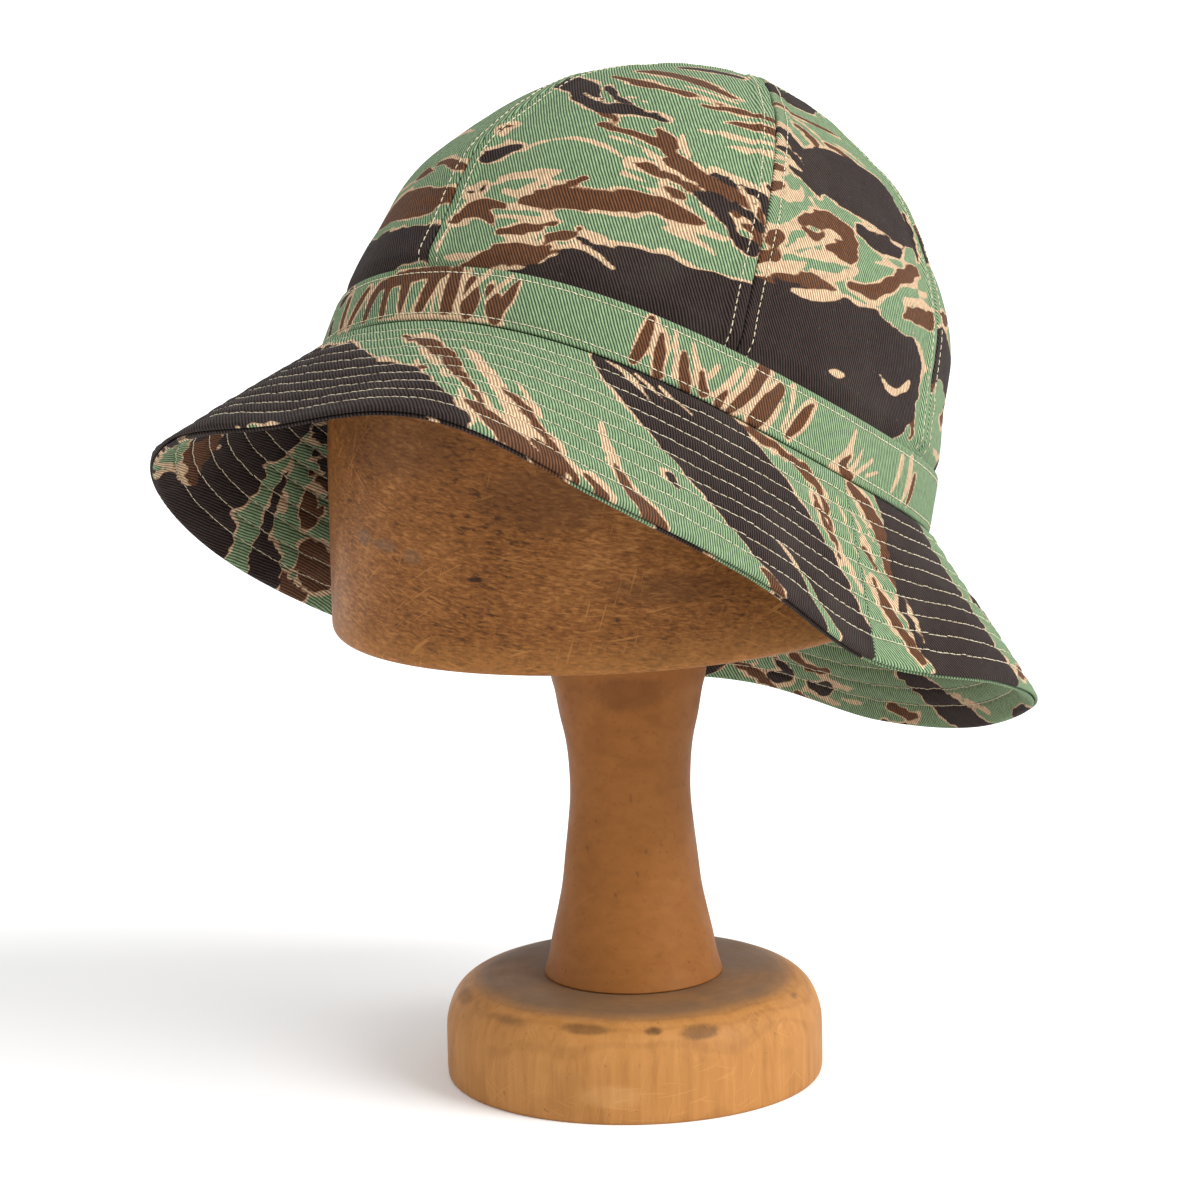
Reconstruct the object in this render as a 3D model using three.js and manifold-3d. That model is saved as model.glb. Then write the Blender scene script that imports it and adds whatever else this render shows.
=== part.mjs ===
// A soft six-panel sun hat of stitched cotton cloth, resting on a turned wooden hat stand.
// Units are millimetres and +Z is up. The origin is the middle of the stand's foot.
// The hat's front faces -Y and the wearer's left is +X. Angles round the hat start at the
// front and grow towards the wearer's left.
import * as THREE from 'three';
import { mergeVertices } from 'three/addons/utils/BufferGeometryUtils.js';
import Module from 'manifold-3d';

// Stand
const baseDiameter = 117.2;
const baseHeight = 32.2;
const stemLength = 114.4;
const stemFootDiameter = 55.6;
const stemWaistDiameter = 37.4;
const stemHeadDiameter = 52;
const blockLength = 196;
const blockWidth = 161;
const blockEdgeRound = 3;
const woodGap = 0.3;

// Hat, measured over the outside of the cloth
const hatLength = 213;
const hatWidth = 177;
const crownHeight = 122.4;
const bandHeight = 18.7;
const brimWidth = 61.4;
const crownWall = 1.6;
const bandWall = 1.5;
const brimWall = 1.2;
const clothGap = 0.3;
const seamWidth = 9;
const seamRise = 0.7;
const crownOverhang = 6;
const stitchPitch = 6;
const edgeChannel = 8;
const channelRise = 0.4;
const jointWave = 3;
const dentDepth = 2.4;
const apexShiftSide = 8.9;
const apexShiftBack = 2.4;
const crownTipRadius = 0.7;

// How the hat rests on the block
const hatRise = 49.2;
const hatShiftSide = -2.8;
const hatShiftBack = 3.5;
const hatTiltBack = 27.5;
const hatLeanSide = 5.8;
const hatTurn = 3.5;

// Crown outline from the brim up: height as a share of the crown's height,
// reach as a share of the half length and half width
const crownOutline = [
  { height: 0.0, reach: 1.0 },
  { height: 0.15, reach: 0.983 },
  { height: 0.32, reach: 0.942 },
  { height: 0.5, reach: 0.892 },
  { height: 0.66, reach: 0.764 },
  { height: 0.79, reach: 0.619 },
  { height: 0.89, reach: 0.41 },
  { height: 0.96, reach: 0.215 },
];

// Crown seams: angle at the brim and at the top, in degrees
const crownSeams = [
  { base: 1.5, top: -7 },
  { base: 64, top: 60 },
  { base: 114, top: 116 },
  { base: 182, top: 180 },
  { base: 243, top: 242 },
  { base: 303, top: 300 },
];

// Droop of the brim below the plane of the joint, in degrees, at even steps round the hat
const brimDroop = [48, 40, 50, 55, 62, 47, 43, 48, 44, 33, 46, 64, 74, 74, 53, 47];

// Waves of the joint between crown and brim: how many round the hat, and their shares
const jointWaves = [
  { count: 2, cosine: 0.97, sine: 0.44 },
  { count: 3, cosine: 0.08, sine: 0.61 },
];

// Soft dents of the crown: angle and height of the middle, depth as a share of dentDepth, and
// how far they spread, in degrees round the hat and as a share of the crown's height
const crownDents = [
  { angle: -50, height: 0.76, depth: 1.6, spread: 34, rise: 0.2 },
  { angle: 138, height: 0.8, depth: 0.5, spread: 26, rise: 0.14 },
  { angle: 196, height: 0.5, depth: 0.7, spread: 22, rise: 0.2 },
];

// Stem outline: height as a share of the length, width between waist and foot or head
const stemOutline = [
  { height: 0.0, foot: 1.0, head: 0 },
  { height: 0.05, foot: 0.82, head: 0 },
  { height: 0.11, foot: 0.68, head: 0 },
  { height: 0.19, foot: 0.46, head: 0 },
  { height: 0.25, foot: 0.32, head: 0 },
  { height: 0.335, foot: 0.2, head: 0 },
  { height: 0.42, foot: 0.08, head: 0 },
  { height: 0.5, foot: 0, head: 0 },
  { height: 0.59, foot: 0, head: 0.04 },
  { height: 0.655, foot: 0, head: 0.16 },
  { height: 0.72, foot: 0, head: 0.38 },
  { height: 0.787, foot: 0, head: 0.56 },
  { height: 0.83, foot: 0, head: 0.72 },
  { height: 0.91, foot: 0, head: 0.88 },
  { height: 1.0, foot: 0, head: 1.0 },
];

// Base outline: reach and height as shares of the radius and the height
const baseOutline = [
  { reach: 0.985, height: 0.0 },
  { reach: 1.0, height: 0.08 },
  { reach: 1.0, height: 0.48 },
  { reach: 0.986, height: 0.65 },
  { reach: 0.947, height: 0.81 },
  { reach: 0.88, height: 0.92 },
  { reach: 0.785, height: 0.98 },
  { reach: 0.7, height: 1.0 },
];

// Fineness of the faceted solids
const turnedSides = 28;
const blockSides = 36;
const brimColumns = 40;
const panelColumns = 5;
const crownRows = 8;
const domeSteps = 8;

const cloth = new THREE.MeshStandardMaterial({ color: 0x5f6440, roughness: 0.95, metalness: 0 });
const lining = new THREE.MeshStandardMaterial({ color: 0x4d5136, roughness: 0.95, metalness: 0 });
const paleWood = new THREE.MeshStandardMaterial({ color: 0xb9783f, roughness: 0.6, metalness: 0 });
const darkWood = new THREE.MeshStandardMaterial({ color: 0x8a5a36, roughness: 0.65, metalness: 0 });

const wasm = await Module();
wasm.setup();

const radians = THREE.MathUtils.degToRad;
const smooth = THREE.MathUtils.smoothstep;

// A closed body from any geometry: shared corners are joined and empty triangles dropped.
function closedBody(geometry) {
  const bare = geometry.index ? geometry.toNonIndexed() : geometry;
  bare.deleteAttribute('normal');
  bare.deleteAttribute('uv');
  const merged = mergeVertices(bare, 1e-4);
  const index = merged.index.array;
  const kept = [];
  for (let i = 0; i < index.length; i += 3) {
    const [a, b, c] = [index[i], index[i + 1], index[i + 2]];
    if (a !== b && b !== c && c !== a) kept.push(a, b, c);
  }
  merged.setIndex(kept);
  return merged;
}

// The signed volume tells which way the faces point.
function signedVolume(points, triangles) {
  let sum = 0;
  for (const [a, b, c] of triangles) {
    sum += points[a].dot(new THREE.Vector3().crossVectors(points[b], points[c]));
  }
  return sum / 6;
}

function bodyFromTriangles(points, triangles) {
  const outward = signedVolume(points, triangles) > 0;
  const geometry = new THREE.BufferGeometry().setFromPoints(points);
  geometry.setIndex(triangles.flatMap(([a, b, c]) => (outward ? [a, b, c] : [a, c, b])));
  return closedBody(geometry);
}

// Triangles that close the end of a wall. Its loop runs up the outside and down the inside,
// and places says how far up each corner lies.
function endTriangles(outsidePlaces, insidePlaces) {
  const places = [...outsidePlaces, ...insidePlaces];
  const top = outsidePlaces.length;
  const triangles = [];
  let outer = 0;
  let inner = places.length - 1;
  while (outer < top - 1 || inner > top) {
    const climbOutside = inner === top || (outer < top - 1 && places[outer + 1] <= places[inner - 1]);
    triangles.push([outer, climbOutside ? outer + 1 : inner - 1, inner]);
    if (climbOutside) outer += 1;
    else inner -= 1;
  }
  return triangles;
}

// A body swept through equal loops of points. An open sweep is closed by its end triangles.
function loftBody(loops, ends = null) {
  const count = loops[0].length;
  const points = loops.flat();
  const triangles = [];
  const spans = ends ? loops.length - 1 : loops.length;
  for (let span = 0; span < spans; span += 1) {
    const here = span * count;
    const there = ((span + 1) % loops.length) * count;
    for (let k = 0; k < count; k += 1) {
      const next = (k + 1) % count;
      triangles.push([here + k, there + k, there + next]);
      triangles.push([here + k, there + next, here + next]);
    }
  }
  if (ends) {
    const last = (loops.length - 1) * count;
    ends.forEach(([a, b, c]) => triangles.push([a, b, c], [last + a, last + c, last + b]));
  }
  return bodyFromTriangles(points, triangles);
}

// A turned body from its outline, given from the axis at the foot to the axis at the top.
function turnedBody(outline, sides) {
  const lathe = new THREE.LatheGeometry(outline, sides);
  lathe.rotateX(Math.PI / 2);
  return closedBody(lathe);
}

function toManifold(geometry) {
  return new wasm.Manifold(new wasm.Mesh({
    numProp: 3,
    vertProperties: new Float32Array(geometry.attributes.position.array),
    triVerts: new Uint32Array(geometry.index.array),
  }));
}

function fromManifold(solid) {
  const mesh = solid.getMesh();
  const geometry = new THREE.BufferGeometry();
  geometry.setAttribute('position', new THREE.BufferAttribute(mesh.vertProperties, 3));
  geometry.setIndex(new THREE.BufferAttribute(mesh.triVerts, 1));
  return geometry;
}

// Shape of the hat, in its own frame: the joint between crown and brim lies near z = 0
const halfLength = hatLength / 2;
const halfWidth = hatWidth / 2;
const bandStack = bandWall + clothGap;
const crownStack = bandStack + crownWall;
const seatHeight = 2 * clothGap;

function ovalPoint(angle) {
  return new THREE.Vector3(halfWidth * Math.sin(angle), -halfLength * Math.cos(angle), 0);
}

function ovalOutward(angle) {
  return new THREE.Vector3(halfLength * Math.sin(angle), -halfWidth * Math.cos(angle), 0).normalize();
}

function jointHeight(angle) {
  const share = jointWaves.reduce(
    (sum, wave) => sum + wave.cosine * Math.cos(wave.count * angle) + wave.sine * Math.sin(wave.count * angle),
    0,
  );
  return jointWave * share;
}

// The outline runs over the apex and down the far side, so that the top is round.
const rising = crownOutline.map((row) => new THREE.Vector2(row.reach, row.height));
const falling = crownOutline.map((row) => new THREE.Vector2(-row.reach, row.height)).reverse();
const crownCurve = new THREE.SplineCurve([...rising, new THREE.Vector2(0, 1), ...falling]);

// How far the dents push the crown's cloth in.
function dentAt(angle, height) {
  return crownDents.reduce((sum, dent) => {
    const turn = Math.atan2(Math.sin(angle - radians(dent.angle)), Math.cos(angle - radians(dent.angle)));
    const across = turn / radians(dent.spread);
    const along = (height - dent.height) / dent.rise;
    return sum + dentDepth * dent.depth * Math.exp(-across * across - along * along);
  }, 0);
}

// Point of the crown's outside: angle round the hat, and way up from 0 at the brim to 1 at the apex.
function crownPoint(angle, way) {
  const { x: reach, y: height } = crownCurve.getPoint(way / 2);
  const point = ovalPoint(angle).multiplyScalar(reach);
  point.addScaledVector(ovalOutward(angle), -dentAt(angle, height) * reach);
  point.x += apexShiftSide * height * height;
  point.y += apexShiftBack * height * height;
  point.z = height * crownHeight + jointHeight(angle) * (1 - height);
  return point;
}

function crownOutward(angle, way) {
  const step = 0.004;
  const along = crownPoint(angle + step, way).sub(crownPoint(angle - step, way));
  const up = crownPoint(angle, Math.min(way + step, 1)).sub(crownPoint(angle, way - step));
  return along.cross(up).normalize();
}

// A point at a depth under the crown's outside.
function crownUnder(angle, way, depth) {
  return crownPoint(angle, way).addScaledVector(crownOutward(angle, way), -depth);
}

// The way up at which the outline has a height above the joint.
function wayAtHeight(height) {
  let low = 0;
  let high = 1;
  for (let i = 0; i < 40; i += 1) {
    const middle = (low + high) / 2;
    if (crownCurve.getPoint(middle / 2).y * crownHeight < height) low = middle;
    else high = middle;
  }
  return low;
}

// The way up at which the outline has closed in to a small radius at the tip.
function wayAtReach(radius) {
  let low = 0.5;
  let high = 1;
  for (let i = 0; i < 40; i += 1) {
    const middle = (low + high) / 2;
    if (crownCurve.getPoint(middle / 2).x * halfWidth > radius) low = middle;
    else high = middle;
  }
  return low;
}

const bandTopWay = wayAtHeight(bandHeight);
const overhangWay = wayAtHeight(bandHeight + crownOverhang);
const tipWay = wayAtReach(crownTipRadius);
const crownWays = [wayAtHeight(seatHeight), bandTopWay, (bandTopWay + overhangWay) / 2, overhangWay];
for (let row = 1; row <= crownRows; row += 1) {
  crownWays.push(overhangWay + ((tipWay - overhangWay) * row) / crownRows);
}

function seamAngle(index, way) {
  const turns = Math.floor(index / crownSeams.length);
  const seam = crownSeams[index % crownSeams.length];
  return radians(seam.base + (seam.top - seam.base) * way + 360 * turns);
}

// Columns across a panel: distance from its first seam, and how far the felled seam lifts the cloth.
function panelColumnsAt(panel, way) {
  const start = seamAngle(panel, way);
  const end = seamAngle(panel + 1, way);
  const middle = (start + end) / 2;
  const pace = crownPoint(middle + 0.01, way).distanceTo(crownPoint(middle - 0.01, way)) / 0.02;
  const span = (end - start) * pace;
  const fold = Math.min(seamWidth / 2, span * 0.2);
  const slope = Math.min(seamWidth / 4, span * 0.08);
  const inner = span - 2 * (fold + slope);
  const columns = [
    { distance: clothGap / 2, lift: 1 },
    { distance: fold, lift: 1 },
  ];
  for (let k = 0; k <= panelColumns; k += 1) {
    columns.push({ distance: fold + slope + (inner * k) / panelColumns, lift: 0 });
  }
  columns.push({ distance: span - fold, lift: 1 });
  columns.push({ distance: span - clothGap / 2, lift: 1 });
  return columns.map(({ distance, lift }) => ({ angle: start + distance / pace, lift }));
}

// Under the band the crown lies inside it, and above the band it swells out again.
function crownInset(way) {
  return bandStack * (1 - smooth(way, bandTopWay, overhangWay));
}

function crownPanel(panel) {
  const rows = crownWays.map((way) => ({ way, columns: panelColumnsAt(panel, way) }));
  const loops = rows[0].columns.map((_, column) => {
    const outside = rows.map(({ way, columns }) => {
      const { angle, lift } = columns[column];
      const ridge = seamRise * lift * smooth(way, bandTopWay, overhangWay);
      return crownUnder(angle, way, crownInset(way) - ridge);
    });
    const inside = rows.map(({ way, columns }) => (
      crownUnder(columns[column].angle, way, crownInset(way) + crownWall)
    ));
    return [...outside, ...inside.reverse()];
  });
  return loftBody(loops, endTriangles(crownWays, [...crownWays].reverse()));
}

// The angles of every panel's columns at one height, all round the crown.
function crownAngles(way) {
  return crownSeams.flatMap((_, panel) => panelColumnsAt(panel, way).slice(0, -1).map(({ angle }) => angle));
}

function hatBand() {
  const ways = [wayAtHeight(seatHeight), wayAtHeight(bandHeight / 2), bandTopWay];
  const loops = crownAngles(0).map((angle) => [
    ...ways.map((way) => crownUnder(angle, way, 0)),
    ...ways.map((way) => crownUnder(angle, way, bandWall)).reverse(),
  ]);
  return loftBody(loops);
}

// Droop at any angle, smoothly between the even steps of the table.
function droopAt(angle) {
  const count = brimDroop.length;
  const place = ((((angle / (2 * Math.PI)) % 1) + 1) % 1) * count;
  const step = Math.floor(place);
  const [a, b, c, d] = [-1, 0, 1, 2].map((offset) => brimDroop[(step + offset + count) % count]);
  const t = place - step;
  const curve = b + 0.5 * t * (c - a + t * (2 * a - 5 * b + 4 * c - d + t * (3 * (b - c) + d - a)));
  return radians(curve);
}

// Point of the brim's section: distance out from the joint, and depth under the upper face.
// Inside the joint the cloth lies flat under the crown's edge.
function brimPoint(angle, distance, depth) {
  const droop = droopAt(angle);
  let out = distance * Math.cos(droop) - depth * Math.sin(droop);
  let height = -distance * Math.sin(droop) - depth * Math.cos(droop);
  if (distance <= 0) {
    out = distance - (distance < 0 ? 0 : depth * Math.tan(droop / 2));
    height = -depth;
  }
  const point = ovalPoint(angle).addScaledVector(ovalOutward(angle), out);
  point.z = height + jointHeight(angle);
  return point;
}

// Rows of stitching, from the outer edge inwards, and the cloth puffed between them.
const stitchRows = [];
for (let row = brimWidth - edgeChannel; row > stitchPitch / 2; row -= stitchPitch) stitchRows.unshift(row);
const quilted = [
  { distance: -crownStack, rise: 0 },
  { distance: 0, rise: 0 },
];
[...stitchRows, brimWidth].forEach((distance, index, all) => {
  if (index > 0) quilted.push({ distance: (distance + all[index - 1]) / 2, rise: 1 });
  quilted.push({ distance, rise: 0 });
});
const plain = [brimWidth, (brimWidth * 2) / 3, brimWidth / 3, stitchRows[0], 0, -crownStack];

// One layer of half the brim: quilted on its open face, plain where the two layers meet.
function brimLayer(firstColumn, openDepth, hiddenDepth) {
  const half = brimColumns / 2;
  const side = Math.sign(hiddenDepth - openDepth);
  const inset = clothGap / 2;
  const loops = [];
  for (let column = 0; column <= half; column += 1) {
    const turn = ((firstColumn + column) / brimColumns) * 2 * Math.PI;
    const shift = column === 0 ? inset : (column === half ? -inset : 0);
    const angle = turn + shift / halfWidth;
    loops.push([
      ...quilted.map(({ distance, rise }) => brimPoint(angle, distance, openDepth - side * channelRise * rise)),
      ...plain.map((distance) => brimPoint(angle, distance, hiddenDepth)),
    ]);
  }
  return loftBody(loops, endTriangles(quilted.map(({ distance }) => distance), plain));
}

const brimStack = 2 * brimWall + clothGap;

// The room inside the hat that the block may fill: the crown's inside, then out along the
// brim's underside, then straight down.
function hatRoom(place) {
  const ways = [...crownWays].reverse();
  const under = brimStack + channelRise + clothGap;
  const flare = [stitchRows[0], brimWidth / 2, brimWidth + clothGap];
  const rings = ways.map((way) => crownAngles(way).map((angle) => (
    crownUnder(angle, way, crownInset(way) + crownWall + clothGap)
  )));
  const base = crownAngles(0);
  rings.push(base.map((angle) => brimPoint(angle, -crownStack - clothGap, under)));
  flare.forEach((distance) => rings.push(base.map((angle) => brimPoint(angle, distance, under))));
  const placed = rings.map((ring) => ring.map((point) => point.applyMatrix4(place)));
  placed.push(placed.at(-1).map((point) => new THREE.Vector3(point.x, point.y, -baseHeight)));

  const apex = crownUnder(seamAngle(0, tipWay), tipWay, crownWall + clothGap).applyMatrix4(place);
  const floor = new THREE.Vector3(0, 0, -baseHeight);
  const points = [...placed.flat(), apex, floor];
  const count = base.length;
  const triangles = [];
  for (let k = 0; k < count; k += 1) {
    const next = (k + 1) % count;
    triangles.push([points.length - 2, k, next]);
    const last = (placed.length - 1) * count;
    triangles.push([points.length - 1, last + next, last + k]);
    for (let ring = 0; ring < placed.length - 1; ring += 1) {
      const a = ring * count;
      const b = a + count;
      triangles.push([a + k, b + k, b + next], [a + k, b + next, a + next]);
    }
  }
  return bodyFromTriangles(points, triangles);
}

// Stand
function standBase() {
  const outline = baseOutline.map(({ reach, height }) => (
    new THREE.Vector2((reach * baseDiameter) / 2, height * baseHeight)
  ));
  return turnedBody([new THREE.Vector2(0, 0), ...outline, new THREE.Vector2(0, baseHeight)], turnedSides);
}

function standStem() {
  const [foot, waist, head] = [stemFootDiameter / 2, stemWaistDiameter / 2, stemHeadDiameter / 2];
  const outline = stemOutline.map((row) => new THREE.Vector2(
    waist + (foot - waist) * row.foot + (head - waist) * row.head,
    row.height * stemLength,
  ));
  return turnedBody([new THREE.Vector2(0, 0), ...outline, new THREE.Vector2(0, stemLength)], turnedSides);
}

// The block before the hat shapes it: upright oval sides, rounded in at the shoulder.
function rawBlock() {
  const reach = blockLength / 2;
  const top = hatRise + crownHeight;
  const shoulder = hatRise;
  const outline = [new THREE.Vector2(0, 0)];
  for (const turn of [0, 30, 60, 90].map(radians)) {
    outline.push(new THREE.Vector2(
      reach - blockEdgeRound * (1 - Math.sin(turn)),
      blockEdgeRound * (1 - Math.cos(turn)),
    ));
  }
  for (let step = 0; step < domeSteps; step += 1) {
    const turn = (step / domeSteps) * (Math.PI / 2);
    outline.push(new THREE.Vector2(
      reach * Math.cos(turn) ** 0.5,
      shoulder + (top - shoulder) * Math.sin(turn),
    ));
  }
  outline.push(new THREE.Vector2(0, top));
  const body = turnedBody(outline, blockSides);
  body.scale(blockWidth / blockLength, 1, 1);
  return body;
}

const object = new THREE.Group();

function addPiece(parent, name, geometry, material) {
  const mesh = new THREE.Mesh(geometry, material);
  mesh.name = name;
  parent.add(mesh);
  return mesh;
}

const stemBottom = baseHeight + woodGap;
const blockBottom = stemBottom + stemLength + woodGap;
addPiece(object, 'stand_base', standBase(), paleWood);
addPiece(object, 'stand_stem', standStem(), paleWood).position.z = stemBottom;

const hat = new THREE.Group();
hat.position.set(hatShiftSide, hatShiftBack, blockBottom + hatRise);
hat.rotation.set(-radians(hatTiltBack), -radians(hatLeanSide), radians(hatTurn), 'YXZ');
hat.updateMatrixWorld();
object.add(hat);

const block = rawBlock();
block.translate(0, 0, blockBottom);
const shaped = toManifold(block).intersect(toManifold(hatRoom(hat.matrixWorld)));
addPiece(object, 'hat_block', fromManifold(shaped), darkWood);

crownSeams.forEach((_, panel) => addPiece(hat, `crown_panel_${panel + 1}`, crownPanel(panel), cloth));
addPiece(hat, 'hat_band', hatBand(), cloth);

// The brim's halves meet at the wearer's left and right.
const halves = [
  { name: 'front', firstColumn: -brimColumns / 4 },
  { name: 'back', firstColumn: brimColumns / 4 },
];
for (const { name, firstColumn } of halves) {
  addPiece(hat, `brim_upper_${name}`, brimLayer(firstColumn, 0, brimWall), cloth);
  addPiece(hat, `brim_under_${name}`, brimLayer(firstColumn, brimStack, brimWall + clothGap), lining);
}

export default object;
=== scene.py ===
"""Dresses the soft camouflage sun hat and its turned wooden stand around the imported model.

Lengths are metres unless a name ends in _mm. Angles round the hat start at its front and grow
towards the wearer's left, and a way up the crown runs from 0 at the brim to 1 at the apex.
"""

from __future__ import annotations

import logging
import math
from collections.abc import Callable
from dataclasses import dataclass
from enum import Enum

import bpy
import numpy as np
from mathutils import Matrix, Vector

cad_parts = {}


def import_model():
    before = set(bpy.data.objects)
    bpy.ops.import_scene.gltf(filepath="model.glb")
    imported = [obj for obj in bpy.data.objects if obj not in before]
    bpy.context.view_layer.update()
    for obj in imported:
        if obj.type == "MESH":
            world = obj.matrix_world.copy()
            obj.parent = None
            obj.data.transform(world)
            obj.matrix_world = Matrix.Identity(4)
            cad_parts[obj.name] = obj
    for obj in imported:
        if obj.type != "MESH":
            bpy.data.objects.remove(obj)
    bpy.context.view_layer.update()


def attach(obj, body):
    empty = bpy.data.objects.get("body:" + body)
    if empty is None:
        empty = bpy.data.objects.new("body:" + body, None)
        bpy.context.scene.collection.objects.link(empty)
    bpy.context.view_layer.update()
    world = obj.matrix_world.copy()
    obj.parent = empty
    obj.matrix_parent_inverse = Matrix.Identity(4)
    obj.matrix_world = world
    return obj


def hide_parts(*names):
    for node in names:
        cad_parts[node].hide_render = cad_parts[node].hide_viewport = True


LOG = logging.getLogger("sun_hat")
MM = 0.001
TAU = 2 * math.pi
RAD = math.pi / 180
NOISE_PERIOD = 256
FINE = 3001

Array = np.ndarray
Piece = bpy.types.Object
Material = bpy.types.Material
Node = bpy.types.Node
Tree = bpy.types.NodeTree
Socket = bpy.types.NodeSocket
Wire = Socket | float | tuple
Triple = tuple[float, float, float]


class Layer(Enum):
    """A layer of the brim's cloth."""

    UPPER = "upper"
    UNDER = "under"


class Half(Enum):
    """A half of the brim, with the angle of its middle."""

    FRONT = 0
    BACK = 180


# Helpers for arrays and meshes


def smooth_step(low: float, high: float, value: Array) -> Array:
    """Eases from 0 at low to 1 at high: 3 t squared minus 2 t cubed, with t from 0 to 1."""
    t = np.clip((value - low) / (high - low), 0, 1)
    return t * t * (3 - 2 * t)


def lattice_noise(x: Array, y: Array, seed: int) -> Array:
    """Smooth noise between -1 and 1: random values at whole numbers, eased between the four
    nearest, which repeat after a long period.

    Args:
        x, y: places, where one unit is one lump of the noise.
        seed: picks the pattern.

    Returns:
        The noise at each place.
    """
    table = np.random.default_rng(seed).uniform(-1, 1, (NOISE_PERIOD, NOISE_PERIOD))
    x, y = np.broadcast_arrays(np.asarray(x, float), np.asarray(y, float))
    column, row = np.floor(x).astype(int), np.floor(y).astype(int)
    fx, fy = x - column, y - row
    fx, fy = fx * fx * (3 - 2 * fx), fy * fy * (3 - 2 * fy)
    row, above = row % NOISE_PERIOD, (row + 1) % NOISE_PERIOD
    left, right = (
        table[side % NOISE_PERIOD, row] * (1 - fy) + table[side % NOISE_PERIOD, above] * fy
        for side in (column, column + 1)
    )
    return left * (1 - fx) + right * fx


def spline(points: Array, place: Array) -> Array:
    """A smooth curve through points: between two of them a cubic whose slope at each is half the
    step between its neighbours.

    Args:
        points: one row of coordinates for each point.
        place: how far along, from 0 to the number of points minus 1.

    Returns:
        One row of coordinates for each place.
    """
    last = len(points) - 1
    step = np.clip(np.floor(place).astype(int), 0, last - 1)
    t = (place - step)[..., None]
    before, here = points[np.maximum(step - 1, 0)], points[step]
    there, after = points[step + 1], points[np.minimum(step + 2, last)]
    rise, fall = (there - before) / 2, (after - here) / 2
    cubic = 2 * here - 2 * there + rise + fall
    square = -3 * here + 3 * there - 2 * rise - fall
    return cubic * t**3 + square * t**2 + rise * t + here


def unit(vectors: Array) -> Array:
    """The vectors, each with length 1."""
    return vectors / np.maximum(np.linalg.norm(vectors, axis=-1, keepdims=True), 1e-12)


def build_mesh(name: str, points: Array, quads: Array, triangles: Array) -> Piece:
    """Puts a closed surface into a new object, with its faces turned outwards.

    Args:
        name: the object's name.
        points: corners, one row each.
        quads, triangles: corner numbers, one row for each face, all wound the same way.

    Returns:
        The object, smooth shaded and linked to the scene.
    """
    fans = np.concatenate([quads[:, [0, 1, 2]], quads[:, [0, 2, 3]], triangles])
    a, b, c = (points[fans[:, k]] for k in range(3))
    if np.einsum("ij,ij->i", a, np.cross(b, c)).sum() < 0:
        quads, triangles = quads[:, ::-1], triangles[:, ::-1]
    mesh = bpy.data.meshes.new(name)
    mesh.vertices.add(len(points))
    mesh.vertices.foreach_set("co", points.astype(np.float32).ravel())
    corners = np.concatenate([quads.ravel(), triangles.ravel()]).astype(np.int32)
    starts = np.concatenate([
        np.arange(len(quads)) * 4,
        len(quads) * 4 + np.arange(len(triangles)) * 3,
    ]).astype(np.int32)
    mesh.loops.add(len(corners))
    mesh.loops.foreach_set("vertex_index", corners)
    mesh.polygons.add(len(starts))
    mesh.polygons.foreach_set("loop_start", starts)
    mesh.polygons.foreach_set("use_smooth", np.ones(len(starts), bool))
    mesh.update(calc_edges=True)
    piece = bpy.data.objects.new(name, mesh)
    bpy.context.scene.collection.objects.link(piece)
    return piece


def strip_quads(columns: int, count: int, ring: bool = False) -> Array:
    """Faces of a sweep of closed loops: each corner joins its neighbour and the next loop's pair.

    Args:
        columns: how many loops.
        count: corners in each loop.
        ring: whether the last loop joins the first.

    Returns:
        Corner numbers, one row for each face.
    """
    spans = np.arange(columns if ring else columns - 1)[:, None] * count
    following = (spans + count) % (columns * count)
    here = np.arange(count)[None, :]
    beside = (here + 1) % count
    faces = [spans + here, following + here, following + beside, spans + beside]
    return np.stack(faces, -1).reshape(-1, 4)


def capped_rings(name: str, points: Array, poles: Array, rings: int, count: int) -> Piece:
    """Joins rings of points into a skin and closes its two ends with a fan to a pole each.

    Args:
        name: the object's name.
        points: corners, ring after ring.
        poles: the corner that closes the first ring, and the one that closes the last.
        rings: how many rings.
        count: corners in each ring.

    Returns:
        The new object.
    """
    here = np.arange(count)
    beside = (here + 1) % count
    last = (rings - 1) * count
    first_fan = np.stack([np.full(count, rings * count), here, beside], -1)
    last_fan = np.stack([np.full(count, rings * count + 1), last + beside, last + here], -1)
    fans = np.concatenate([first_fan, last_fan])
    return build_mesh(name, np.concatenate([points, poles]), strip_quads(rings, count), fans)


def wall_end(outer: Array, inner: Array) -> Array:
    """Triangles that close the end of a wall whose loop runs up the outside and down the inside.
    Each step on one side is joined to the corner of the other side that lies level with it.

    Args:
        outer: how far up each outside corner lies, rising.
        inner: how far up each inside corner lies, falling.

    Returns:
        Corner numbers within the loop, one row for each triangle.
    """
    count = len(outer) + len(inner)
    rising = inner[::-1]
    steps = np.arange(len(outer) - 1)
    level = np.searchsorted(rising[1:], outer[1:], side="left")
    up_outside = np.stack([steps, steps + 1, count - 1 - level], -1)
    steps = np.arange(len(inner) - 1)
    level = np.searchsorted(outer[1:], rising[1:], side="right")
    up_inside = np.stack([level, count - 2 - steps, count - 1 - steps], -1)
    return np.concatenate([up_outside, up_inside])


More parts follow.
